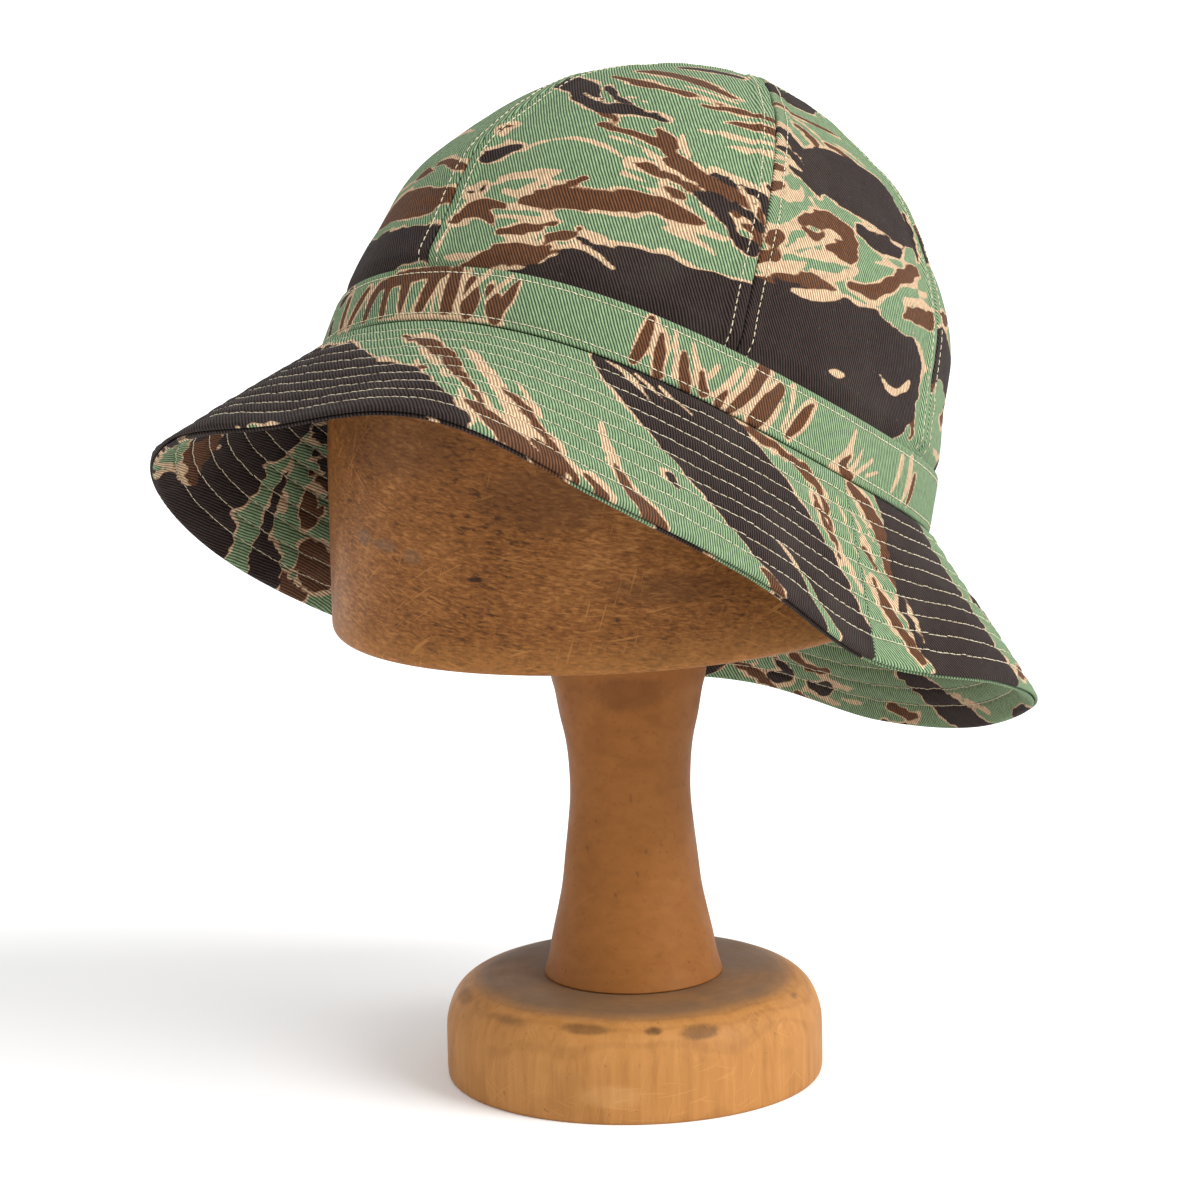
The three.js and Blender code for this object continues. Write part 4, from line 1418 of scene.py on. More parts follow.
    def face_point(self, angle: Array, distance: Array) -> Array:
        """A point on the open face."""
        depth = self.open_depth - self.side * self.relief(angle, distance)
        return self.form.place(self.form.brim(angle, distance, depth))

    def stitches(self, length: float) -> Array:
        """Stitches along every row of the open face: middles, directions, outward directions."""
        form = self.form
        middle = self.half.value * RAD
        angles = middle + np.linspace(-math.pi / 2, math.pi / 2, 2001)
        found = []
        for row, distance in enumerate(form.stitch_rows()):
            line = form.brim(angles, np.full_like(angles, distance), 0.0)
            run = np.concatenate([[0], np.cumsum(np.linalg.norm(np.diff(line, axis=0), axis=1))])
            count = int(run[-1] / length)
            at = (np.arange(count) + 0.3 + 0.37 * (row % 2)) * run[-1] / count
            angle = np.interp(at, run, angles)
            sway = lattice_noise(at / self.sway_length, np.full_like(at, 3.0 * row), 17)
            away = distance + self.row_sway * sway
            here, beside = self.face_point(angle, away), self.face_point(angle + self.step, away)
            origin = form.place(np.zeros((1, 3)))
            outward = self.side * (form.place(form.brim_outward(angle, away)) - origin)
            found.append(np.stack([here, unit(beside - here), outward], 1))
        return np.concatenate(found)


@dataclass(frozen=True)
class Stitching:
    """Runs of thread stitches: small capsules that arch over the cloth and dive into it. Their
    rings lie at turns along half a stitch, each as thick as its swell."""

    name: str
    length: float
    thickness: float = 0.36 * MM
    cover: float = 0.78
    arch: float = 0.16 * MM
    sink: float = 0.06 * MM
    rise: float = 0.3
    half_range: tuple = (0.9, 1.08)
    skew_spread: float = 0.05
    sides: int = 5
    turns: tuple = (-1.0, -0.86, -0.4, 0.4, 0.86, 1.0)
    swells: tuple = (0.0, 0.7, 1.0, 1.0, 0.7, 0.0)

    def build(self, frames: Array) -> Piece:
        """Makes all the stitches of one kind as one mesh.

        Each stitch is a row of rings along its direction, rising by 1 minus the square of its
        place, and closed by a point at each end.

        Args:
            frames: for each stitch its middle, direction and outward direction.

        Returns:
            The stitches.
        """
        middle, along, outward = (frames[:, k][:, None, None, :] for k in range(3))
        across = unit(np.cross(outward, along))
        outward = np.cross(along, across)
        draw = np.random.default_rng(len(frames))
        turn, swell = (np.array(row)[None, :, None, None] for row in (self.turns, self.swells))
        ring = np.arange(self.sides) / self.sides * TAU
        shape = (len(frames), 1, 1, 1)
        half = self.cover * self.length / 2 * draw.uniform(*self.half_range, shape)
        skew = draw.normal(0, self.skew_spread, shape)
        lift = self.arch * (1 - turn**2) - self.sink + self.thickness * self.rise
        line = middle + turn * half * (along + across * skew) + outward * lift
        round_it = across * np.cos(ring)[:, None] + outward * np.sin(ring)[:, None]
        points = line + swell * self.thickness / 2 * round_it
        return self.merged_tips(points.reshape(len(frames), -1, 3))

    def merged_tips(self, points: Array) -> Piece:
        """Makes the capsules, with the first and last ring of each drawn together to one corner.

        Args:
            points: corners by capsule, ring after ring.

        Returns:
            The stitches.
        """
        sides, each = self.sides, points.shape[1]
        faces = strip_quads(len(self.turns), sides)
        tips = np.concatenate([faces[:sides][:, [0, 1, 2]], faces[-sides:][:, [0, 1, 3]]])
        renumber = np.arange(each)
        renumber[:sides] = 0
        renumber[-sides:] = each - sides
        kept = np.unique(renumber)
        squeezed = np.searchsorted(kept, renumber)
        first = (np.arange(len(points)) * len(kept))[:, None, None]
        quads = (squeezed[faces[sides:-sides]][None] + first).reshape(-1, 4)
        triangles = (squeezed[tips][None] + first).reshape(-1, 3)
        return build_mesh(self.name, points[:, kept].reshape(-1, 3), quads, triangles)


# The wooden stand


@dataclass(frozen=True)
class Stand:
    """The turned base and stem, and the block that fills the hat. The base's outline holds radius
    and height as shares. The stem's holds the height as a share, and the shares of the widening
    towards the foot and towards the head."""

    base_diameter: float = 117.2 * MM
    base_height: float = 32.2 * MM
    stem_length: float = 114.4 * MM
    stem_foot: float = 55.6 * MM
    stem_waist: float = 37.4 * MM
    stem_head: float = 52 * MM
    block_length: float = 196 * MM
    block_width: float = 161 * MM
    block_edge: float = 3 * MM
    wood_gap: float = 0.3 * MM
    brim_relief: float = 0.4 * MM
    sharp_angle: float = 35 * RAD
    dome_shape: float = 0.5
    sides: int = 160
    base_rows: int = 71
    stem_rows: int = 141
    corner_rows: int = 8
    side_rows: int = 24
    dome_rows: int = 70
    base_outline: tuple = (
        (0.985, 0.0),
        (1.0, 0.08),
        (1.0, 0.48),
        (0.986, 0.65),
        (0.947, 0.81),
        (0.88, 0.92),
        (0.785, 0.98),
        (0.7, 1.0),
    )
    stem_outline: tuple = (
        (0.0, 1.0, 0.0),
        (0.05, 0.82, 0.0),
        (0.11, 0.68, 0.0),
        (0.19, 0.46, 0.0),
        (0.25, 0.32, 0.0),
        (0.335, 0.2, 0.0),
        (0.42, 0.08, 0.0),
        (0.5, 0.0, 0.0),
        (0.59, 0.0, 0.04),
        (0.655, 0.0, 0.16),
        (0.72, 0.0, 0.38),
        (0.787, 0.0, 0.56),
        (0.83, 0.0, 0.72),
        (0.91, 0.0, 0.88),
        (1.0, 0.0, 1.0),
    )

    @property
    def stem_bottom(self) -> float:
        """Height of the stem's foot."""
        return self.base_height + self.wood_gap

    @property
    def block_bottom(self) -> float:
        """Height of the block's underside."""
        return self.stem_bottom + self.stem_length + self.wood_gap

    def turned(self, name: str, profile: Array, squash: float = 1.0) -> Piece:
        """Turns a profile round the upright axis and closes it at both poles.

        Args:
            name: the object's name.
            profile: radius and height, one row each, from the bottom pole to the top pole.
            squash: width across the axis as a share of the length along it.

        Returns:
            The turned body.
        """
        turn = np.arange(self.sides) / self.sides * TAU
        radius, height = profile[1:-1, 0], profile[1:-1, 1]
        x = np.sin(turn)[None, :] * radius[:, None] * squash
        y = -np.cos(turn)[None, :] * radius[:, None]
        z = np.broadcast_to(height[:, None], x.shape)
        points = np.stack([x, y, z], -1).reshape(-1, 3)
        poles = np.array([[0, 0, profile[0, 1]], [0, 0, profile[-1, 1]]])
        return capped_rings(name, points, poles, len(radius), self.sides)

    def base(self) -> Piece:
        """The base: a thick disc whose top edge is rounded over."""
        table = np.array(self.base_outline) * [self.base_diameter / 2, self.base_height]
        fine = spline(table, np.linspace(0, len(table) - 1, self.base_rows))
        fine[:, 0] = np.minimum(fine[:, 0], self.base_diameter / 2)
        under = np.array([[0, 0], [0.5, 0], [0.97, 0]]) * [table[0, 0], 0]
        over = np.array([[0.8, 1], [0.5, 1], [0.2, 1], [0, 1]]) * [table[-1, 0], self.base_height]
        return self.turned("turned_base", np.concatenate([under, fine, over]))

    def stem(self) -> Piece:
        """The stem: waisted, wide at its foot and at its head."""
        table = np.array(self.stem_outline)
        foot, waist, head = self.stem_foot / 2, self.stem_waist / 2, self.stem_head / 2
        radius = waist + (foot - waist) * table[:, 1] + (head - waist) * table[:, 2]
        height = self.stem_bottom + table[:, 0] * self.stem_length
        place = np.linspace(0, len(table) - 1, self.stem_rows)
        fine = spline(np.stack([radius, height], -1), place)
        ends = np.array([[0, self.stem_bottom], [0.6 * foot, self.stem_bottom]])
        top = self.stem_bottom + self.stem_length
        tops = np.array([[0.6 * head, top], [0, top]])
        return self.turned("turned_stem", np.concatenate([ends, fine, tops]))

    def raw_block(self, form: HatForm) -> Piece:
        """The block before the hat shapes it: a dome on an oval foot with a rounded lower edge."""
        reach, edge = self.block_length / 2, self.block_edge
        corner = np.linspace(0, math.pi / 2, self.corner_rows)
        lower = np.stack([reach - edge * (1 - np.sin(corner)), edge * (1 - np.cos(corner))], -1)
        rise = np.linspace(0, 1, self.dome_rows)[1:] * math.pi / 2
        shoulder, crown = form.rise, form.crown_height
        side = np.linspace(edge, shoulder, self.side_rows)[1:]
        wall = np.stack([np.full_like(side, reach), side], -1)
        rise = rise[:-1]
        radius = reach * np.cos(rise) ** self.dome_shape
        dome = np.stack([radius, shoulder + crown * np.sin(rise)], -1)
        ends = np.array([[0, 0], [0.5 * reach, 0]])
        profile = np.concatenate([ends, lower, wall, dome, [[0, shoulder + crown]]])
        profile[:, 1] += self.block_bottom
        return self.turned("hat_block_wood", profile, self.block_width / self.block_length)

    def hat_room(self, form: HatForm) -> Piece:
        """The room inside the hat that the block may fill: the crown's inside, then out along the
        brim's underside, then straight down to the floor."""
        angles = np.arange(360) * RAD
        tip = form.tip_way()
        seat = form.way_at_height(2 * form.cloth_gap)
        ways = np.concatenate([np.linspace(tip, 0.1, self.dome_rows), [seat]])
        angle, way = np.broadcast_arrays(angles[None, :], ways[:, None])
        depth = form.crown_inset(way) + form.crown_wall + form.cloth_gap
        crown = form.crown_under(angle, way, depth)
        under = 2 * form.brim_wall + form.cloth_gap + self.brim_relief + form.cloth_gap
        stack = form.band_stack() + form.crown_wall + form.cloth_gap
        edge = form.brim_width + form.cloth_gap
        out = np.array([-stack, form.stitch_rows()[0], form.brim_width / 2, edge])
        angle, distance = np.broadcast_arrays(angles[None, :], out[:, None])
        rings = form.place(np.concatenate([crown, form.brim(angle, distance, under)]))
        floor = rings[-1:].copy()
        floor[..., 2] = -self.base_height
        rings = np.concatenate([rings, floor])
        apex = form.place(form.crown_under(0.0, tip, form.crown_wall + form.cloth_gap)[None])
        poles = np.concatenate([apex.reshape(1, 3), [[0, 0, -self.base_height]]])
        return capped_rings("hat_room", rings.reshape(-1, 3), poles, len(rings), len(angles))

    def block(self, form: HatForm) -> Piece:
        """The block: the raw one, cut to the room inside the hat.

        Args:
            form: the hat's shape.

        Returns:
            The block.
        """
        block, room = self.raw_block(form), self.hat_room(form)
        cut = block.modifiers.new("fit_the_hat", "BOOLEAN")
        cut.operation, cut.solver, cut.object = "INTERSECT", "EXACT", room
        graph = bpy.context.evaluated_depsgraph_get()
        shaped = bpy.data.meshes.new_from_object(block.evaluated_get(graph))
        block.modifiers.clear()
        old, block.data = block.data, shaped
        bpy.data.meshes.remove(old)
        bpy.data.objects.remove(room)
        shaped.polygons.foreach_set("use_smooth", np.ones(len(shaped.polygons), bool))
        shaped.set_sharp_from_angle(angle=self.sharp_angle)
        return block


# Finishes


def screen_color(tone: Triple) -> tuple[float, float, float, float]:
    """A colour given as screen values from 0 to 255, as the linear values that a socket takes."""
    share = np.array(tone) / 255
    linear = np.where(share > 0.04045, ((share + 0.055) / 1.055) ** 2.4, share / 12.92)
    return (*map(float, linear), 1.0)


COLOR_MIX_SHARE, COLOR_MIX_FIRST, COLOR_MIX_SECOND, COLOR_MIX_RESULT = 0, 6, 7, 2


class Graph:
    """A node tree that is being laid out. Values go in as numbers, colours or sockets."""

    def __init__(self, tree: Tree) -> None:
        """Starts on a tree.

        Args:
            tree: the tree of a material or of a group.
        """
        self.tree = tree

    def add(
        self, kind: str, inputs: dict[str | int, Wire] | None = None, **settings: object
    ) -> Node:
        """Adds a node.

        Args:
            kind: the node's type, without its ShaderNode prefix.
            inputs: values or sockets by the name or number of the input.
            settings: the node's own properties.

        Returns:
            The node.
        """
        node = self.tree.nodes.new("ShaderNode" + kind)
        for name, value in settings.items():
            setattr(node, name, value)
        return self.fill(node, inputs or {})

    def fill(self, node: Node, inputs: dict[str | int, Wire]) -> Node:
        """Links sockets to a node's inputs, and sets its other inputs to plain values."""
        for name, value in inputs.items():
            if isinstance(value, Socket):
                self.tree.links.new(value, node.inputs[name])
            else:
                node.inputs[name].default_value = value
        return node

    def math(self, operation: str, *values: Wire) -> Socket:
        """One step of arithmetic."""
        return self.add("Math", dict(enumerate(values)), operation=operation).outputs[0]

    def plus(self, first: Wire, second: Wire) -> Socket:
        """The sum of two values."""
        return self.math("ADD", first, second)

    def minus(self, first: Wire, second: Wire) -> Socket:
        """The first value less the second."""
        return self.math("SUBTRACT", first, second)

    def times(self, first: Wire, second: Wire) -> Socket:
        """The product of two values."""
        return self.math("MULTIPLY", first, second)

    def scaled(self, value: Wire, factor: Wire, offset: Wire) -> Socket:
        """A value times a factor, plus an offset."""
        return self.math("MULTIPLY_ADD", value, factor, offset)

    def ramp(
        self, value: Wire, low: float, high: float, start: float = 0.0, end: float = 1.0
    ) -> Socket:
        """Eases from start to end as the value goes from low to high."""
        inputs = {"Value": value, "From Min": low, "From Max": high, "To Min": start, "To Max": end}
        return self.add("MapRange", inputs, interpolation_type="SMOOTHSTEP").outputs["Result"]

    def mix(self, share: Wire, first: Wire, second: Wire, blend: str = "MIX") -> Socket:
        """Blends two colours."""
        inputs = {COLOR_MIX_SHARE: share, COLOR_MIX_FIRST: first, COLOR_MIX_SECOND: second}
        return self.add("Mix", inputs, data_type="RGBA", blend_type=blend).outputs[COLOR_MIX_RESULT]

    def noise(self, vector: Wire, scale: float, detail: float = 2.0, twist: float = 0.0) -> Socket:
        """Smooth noise from 0 to 1, with a number of lumps in each metre."""
        inputs = {"Vector": vector, "Scale": scale, "Detail": detail, "Distortion": twist}
        return self.add("TexNoise", inputs).outputs["Fac"]

    def spot(self, vector: Wire, place: tuple, size: tuple) -> Socket:
        """A round or oval spot: 1 at its middle, falling to 0 at its rim."""
        away = self.add("VectorMath", {0: vector, 1: place}, operation="SUBTRACT").outputs[0]
        away = self.add("VectorMath", {0: away, 1: size}, operation="DIVIDE").outputs[0]
        length = self.add("VectorMath", {0: away}, operation="LENGTH").outputs["Value"]
        return self.ramp(length, 0.2, 1.0, 1.0, 0.0)

    def group(self, tree: Tree, inputs: dict[str, Wire]) -> Node:
        """Adds a group node with its inputs."""
        node = self.tree.nodes.new("ShaderNodeGroup")
        node.node_tree = tree
        return self.fill(node, inputs)


def new_group(
    name: str, inputs: dict[str, str], outputs: dict[str, str]
) -> tuple[Graph, Node, Node]:
    """Starts a shader node group.

    Args:
        name: the group's name.
        inputs, outputs: the kind of each socket (Float, Color or Vector) by its name.

    Returns:
        A graph on the group's tree, and the group's input and output nodes.
    """
    tree = bpy.data.node_groups.new(name, "ShaderNodeTree")
    for way, sockets in (("INPUT", inputs), ("OUTPUT", outputs)):
        for socket, kind in sockets.items():
            tree.interface.new_socket(name=socket, in_out=way, socket_type="NodeSocket" + kind)
    return Graph(tree), tree.nodes.new("NodeGroupInput"), tree.nodes.new("NodeGroupOutput")


def twill_group() -> Tree:
    """Ribs of a twill weave: a cosine across ribs that lean by an angle on the cloth map, each
    rib broken into short floats, with threads of uneven tone.

    Returns:
        The group, with outputs Rib and Tone.
    """
    inputs = {"Map": "Vector", "Lean": "Float", "Pitch": "Float"}
    graph, start, end = new_group("twill_weave", inputs, {"Rib": "Float", "Tone": "Float"})
    cloth = start.outputs["Map"]
    split = graph.add("SeparateXYZ", {0: cloth})
    u, v = split.outputs[0], split.outputs[1]
    c, s = graph.math("COSINE", start.outputs["Lean"]), graph.math("SINE", start.outputs["Lean"])
    across = graph.minus(graph.times(u, c), graph.times(v, s))
    along = graph.plus(graph.times(u, s), graph.times(v, c))
    sway = graph.minus(graph.noise(cloth, 160.0, 1.0), 0.5)
    across = graph.scaled(sway, 0.0005, across)
    phase = graph.math("DIVIDE", across, start.outputs["Pitch"])
    wave = graph.math("COSINE", graph.times(phase, TAU))
    rib = graph.scaled(wave, 0.5, 0.5)
    step = graph.plus(graph.math("DIVIDE", along, start.outputs["Pitch"]), phase)
    bead = graph.scaled(graph.math("COSINE", graph.times(step, TAU)), 0.09, 0.91)
    rib = graph.times(rib, bead)
    place = graph.add("CombineXYZ", {0: graph.times(across, 3.0), 1: along})
    thread = graph.noise(place.outputs[0], 420.0, 2.0)
    tone = graph.ramp(thread, 0.25, 0.75, 0.8, 1.2)
    graph.fill(end, {"Rib": rib, "Tone": tone})
    return graph.tree


# Tones of the twill as (groove, rib): the groove tone is painted shade and the rib tone a painted
# highlight.
GREEN_SHADE_AND_HIGHLIGHT = ((34, 56, 36), (146, 170, 130))
DYE_SHADE_AND_HIGHLIGHT = {
    "Tan": ((132, 98, 72), (218, 194, 160)),
    "Brown": ((46, 26, 15), (108, 70, 45)),
    "Black": ((3, 2, 2), (62, 49, 45)),
}
WORN_TONE = (150, 142, 130)


def print_group() -> Tree:
    """Colours of the printed twill: the green and each dye have a painted shade tone in the grooves
    and a painted highlight tone on the ribs, the dyes' edges follow the ribs, and worn places are
    greyer.

    Returns:
        The group, with the output Color.
    """
    inputs = {name: "Float" for name in ("Rib", "Tone", "Wear", *DYE_SHADE_AND_HIGHLIGHT)}
    graph, start, end = new_group("tiger_print", inputs, {"Color": "Color"})
    rib, tone = start.outputs["Rib"], start.outputs["Tone"]
    jag = graph.times(graph.minus(rib, 0.5), 0.3)
    # Each pair mixes painted shade in the grooves with a painted highlight on the ribs.
    color = graph.mix(rib, *map(screen_color, GREEN_SHADE_AND_HIGHLIGHT))
    for dye, tones in DYE_SHADE_AND_HIGHLIGHT.items():
        inside = graph.ramp(graph.plus(start.outputs[dye], jag), -0.12, 0.12)
        color = graph.mix(inside, color, graph.mix(rib, *map(screen_color, tones)))
    bright = graph.add("CombineXYZ", {0: tone, 1: tone, 2: tone}).outputs[0]
    color = graph.mix(1.0, color, bright, "MULTIPLY")
    worn = graph.mix(0.3, color, screen_color(WORN_TONE))
    color = graph.mix(start.outputs["Wear"], color, worn)
    graph.fill(end, {"Color": color})
    return graph.tree


def wood_group() -> Tree:
    """Old handled wood: fine fibres along one axis of stretched coordinates, broad dark and pale
    clouds, short scratches and small pits.

    Returns:
        The group, with outputs Color, Height and Gloss.
    """
    inputs = {"Vector": "Vector", "Grain": "Vector"}
    inputs |= {name: "Color" for name in ("Dark", "Middle", "Light")}
    inputs |= {name: "Float" for name in ("Fibre", "Cloud", "Mottle", "Worn")}
    outputs = {"Color": "Color", "Height": "Float", "Gloss": "Float"}
    graph, start, end = new_group("old_wood", inputs, outputs)
    place, grain = start.outputs["Vector"], start.outputs["Grain"]
    dark, light = start.outputs["Dark"], start.outputs["Light"]
    fibre = graph.noise(grain, 1.0, 4.0, 0.4)
    pores = graph.noise(grain, 3.1, 2.0)
    cloud = graph.noise(place, 38.0, 4.0, 0.6)
    blotch = graph.noise(place, 11.0, 3.0, 0.3)
    tone = graph.scaled(graph.minus(fibre, 0.5), start.outputs["Fibre"], 0.5)
    for clouds in (cloud, blotch):
        tone = graph.scaled(graph.minus(clouds, 0.5), start.outputs["Cloud"], tone)
    low = graph.mix(graph.ramp(tone, 0.12, 0.5), dark, start.outputs["Middle"])
    color = graph.mix(graph.ramp(tone, 0.5, 0.88), low, light)
    mottle = graph.noise(grain, start.outputs["Mottle"], 5.0, 0.5)
    strength = graph.scaled(start.outputs["Worn"], 0.55, 0.04)
    for limit, shade in ((0.68, dark), (0.34, light)):
        color = graph.mix(graph.times(graph.ramp(mottle, 0.5, limit), strength), color, shade)
    pit = graph.ramp(graph.noise(place, 420.0, 2.0), 0.24, 0.3, 1.0, 0.0)
    color = graph.mix(graph.times(pit, 0.35), color, dark)
    color = graph.mix(graph.ramp(pores, 0.6, 0.74, 0.0, 0.22), color, dark)
    scratch = None
    for turn, seed in ((0.6, 0.0), (2.1, 3.0), (-0.5, 7.0)):
        inputs = {"Vector": place, "Rotation": (turn, turn, 0.0), "Location": (seed, seed, seed)}
        aslant = graph.add("Mapping", inputs).outputs[0]
        aslant = graph.add("Mapping", {"Vector": aslant, "Scale": (70.0, 70.0, 1600.0)}).outputs[0]
        thin = graph.ramp(graph.noise(aslant, 1.0, 0.0), 0.72, 0.78)
        scratch = thin if scratch is None else graph.math("MAXIMUM", scratch, thin)
    rare = graph.ramp(graph.noise(place, 55.0, 1.0), 0.46, 0.58)
    scratch = graph.times(graph.times(scratch, rare), start.outputs["Worn"])
    color = graph.mix(scratch, color, light)
    height = graph.minus(graph.times(fibre, 0.6), graph.plus(pit, scratch))
    gloss = graph.ramp(cloud, 0.3, 0.7, 0.62, 0.48)
    graph.fill(end, {"Color": color, "Height": height, "Gloss": gloss})
    return graph.tree


def new_material(name: str) -> tuple[Material, Graph, Node]:
    """Starts a material: the material, a graph on its tree, and its shader."""
    material = bpy.data.materials.new(name)
    material.use_nodes = True
    return material, Graph(material.node_tree), material.node_tree.nodes["Principled BSDF"]


@dataclass(frozen=True)
class ClothFinish:
    """Cotton twill with its print. The ribs lean by an angle on the cloth map."""

    name: str
    lean: float
    pitch: float = 0.92 * MM
    relief: float = 0.16 * MM
    wear: float = 0.1

    def material(self, weave: Tree, dyes: Tree) -> Material:
        """Makes the material.

        Args:
            weave: the twill group.
            dyes: the print group.

        Returns:
            The material.
        """
        material, graph, shader = new_material(self.name)
        cloth = graph.add("UVMap", uv_map="cloth").outputs["UV"]
        place = graph.add("TexCoord").outputs["Object"]
        twill = graph.group(weave, {"Map": cloth, "Lean": self.lean, "Pitch": self.pitch})
        rib, tone = twill.outputs["Rib"], twill.outputs["Tone"]
        fields = {
            dye: graph.add("Attribute", attribute_name=dye.lower()).outputs["Fac"]
            for dye in DYE_SHADE_AND_HIGHLIGHT
        }
        handled = graph.ramp(graph.noise(place, 45.0, 3.0), 0.4, 0.75, 0.0, self.wear)
        lint = graph.ramp(graph.noise(place, 900.0, 1.0, 1.5), 0.7, 0.78, 0.0, 0.35)
        wear = graph.plus(handled, lint)
        printed = graph.group(dyes, {"Rib": rib, "Tone": tone, "Wear": wear, **fields})
        fuzz = graph.noise(place, 1500.0, 2.0)
        height = graph.scaled(fuzz, 0.35, rib)
        bump = graph.add("Bump", {"Height": height, "Strength": 0.9, "Distance": self.relief})
        graph.fill(shader, {
            "Base Color": printed.outputs["Color"],
            "Normal": bump.outputs["Normal"],
            "Roughness": graph.ramp(rib, 0.0, 1.0, 0.95, 0.82),
            "Specular IOR Level": 0.12,
            "Sheen Weight": 0.02,
            "Sheen Roughness": 0.6,
        })
        return material


@dataclass(frozen=True)
class ThreadFinish:
    """Cream cotton thread, darker in the dips of its twist as painted shade, and soiled in patches.
    Colours are screen values from 0 to 255."""

    name: str = "cream_thread"
    # dark is painted shade in the dips of the twist; light is the tone on its ridges.
    dark: Triple = (176, 160, 128)
    light: Triple = (234, 224, 200)
    soiled: Triple = (160, 142, 108)
    relief: float = 0.06 * MM

    def material(self) -> Material:
        """Makes the material."""
        material, graph, shader = new_material(self.name)
        place = graph.add("TexCoord").outputs["Object"]
        twist = graph.noise(place, 2600.0, 2.0)
        soil = graph.noise(place, 60.0, 2.0)
        dark, light, soiled = map(screen_color, (self.dark, self.light, self.soiled))
        # Mixed by the twist that also drives the bump: painted shade where the twist dips.
        color = graph.mix(graph.ramp(twist, 0.3, 0.7), dark, light)
        color = graph.mix(graph.ramp(soil, 0.45, 0.75, 0.0, 0.4), color, soiled)
        bump = graph.add("Bump", {"Height": twist, "Strength": 0.6, "Distance": self.relief})
        graph.fill(shader, {
            "Base Color": color,
            "Normal": bump.outputs["Normal"],
            "Roughness": graph.ramp(soil, 0.2, 0.8, 0.7, 0.85),
            "Specular IOR Level": 0.3,
        })
        return material


@dataclass(frozen=True)
class WoodFinish:
    """Old wood on one piece of the stand. Colours are screen values from 0 to 255. Above the top
    height the wood is darkened, and by default that height lies far above the stand. Rings count
    radians in each metre of radius, and at 0 there are none. Marks are spots of colour, each with
    its place, its size, its strength and its colour: stains, and on the block also painted shade
    under the brim and a painted light band along its foot."""

    name: str
    dark: Triple
    middle: Triple
    light: Triple
    grain: Triple
    turn: Triple = (0.0, 0.0, 0.0)
    fibre: float = 0.6
    cloud: float = 0.5
    mottle: float = 0.5
    worn: float = 0.25
    rings: float = 0.0
    ring_sway: float = 0.012
    top_height: float = 9.0
    top_edge: float = 2.4 * MM
    top_tone: Triple = (110, 92, 80)
    relief: float = 0.2 * MM
    marks: tuple = ()

    def material(self, wood: Tree) -> Material:
        """Makes the material.

        Args:
            wood: the group for old wood.

        Returns:
            The material.
        """
        material, graph, shader = new_material(self.name)
        place = graph.add("TexCoord").outputs["Object"]
        turned = graph.add("Mapping", {"Vector": place, "Rotation": self.turn}).outputs[0]
        grain = graph.add("Mapping", {"Vector": turned, "Scale": self.grain}).outputs[0]
        board = graph.group(wood, {
            "Vector": place,
            "Grain": grain,
            "Dark": screen_color(self.dark),
            "Middle": screen_color(self.middle),
            "Light": screen_color(self.light),
            "Fibre": self.fibre,
            "Cloud": self.cloud,
            "Mottle": self.mottle,
            "Worn": self.worn,
        })
        color = board.outputs["Color"]
        x, y, z = graph.add("SeparateXYZ", {0: place}).outputs
        if self.rings:
            radius = graph.math("SQRT", graph.plus(graph.times(x, x), graph.times(y, y)))
            sway = graph.times(graph.noise(place, 30.0, 2.0), self.ring_sway)
            waves = graph.math("SINE", graph.times(graph.plus(radius, sway), self.rings))
            ring = graph.ramp(waves, 0.2, 1.0, 0.0, 0.13)
            color = graph.mix(ring, color, screen_color(self.dark))
        over = graph.ramp(z, self.top_height, self.top_height + self.top_edge, 0.0, 0.85)
        over = graph.times(over, graph.ramp(graph.noise(place, 40.0, 3.0), 0.25, 0.6, 0.7, 1.0))
        color = graph.mix(over, color, screen_color(self.top_tone))
        ragged = graph.noise(place, 330.0, 4.0, 1.5)
        # Blends in each mark: stains, and on the block painted shade under the brim and painted
        # light along its foot.
        for spot_place, size, strength, tone in self.marks:
            spot = graph.spot(place, spot_place, size)
            uneven = graph.times(spot, graph.plus(ragged, 0.35))
            stain_and_painted_light = graph.ramp(uneven, 0.1, 0.8, 0.0, strength)
            color = graph.mix(stain_and_painted_light, color, screen_color(tone))
        height = board.outputs["Height"]
        bump = graph.add("Bump", {"Height": height, "Strength": 0.5, "Distance": self.relief})
        graph.fill(shader, {
            "Base Color": color,
            "Roughness": board.outputs["Gloss"],
            "Normal": bump.outputs["Normal"],
            "Specular IOR Level": 0.14,
        })
        return material


CLOTH_FINISHES = {
    "crown": ClothFinish("crown_twill", -31 * RAD),
    "band": ClothFinish("band_twill", -31 * RAD),
    "brim_front": ClothFinish("front_brim_twill", -42 * RAD),
    "brim_back": ClothFinish("back_brim_twill", 6 * RAD),
}

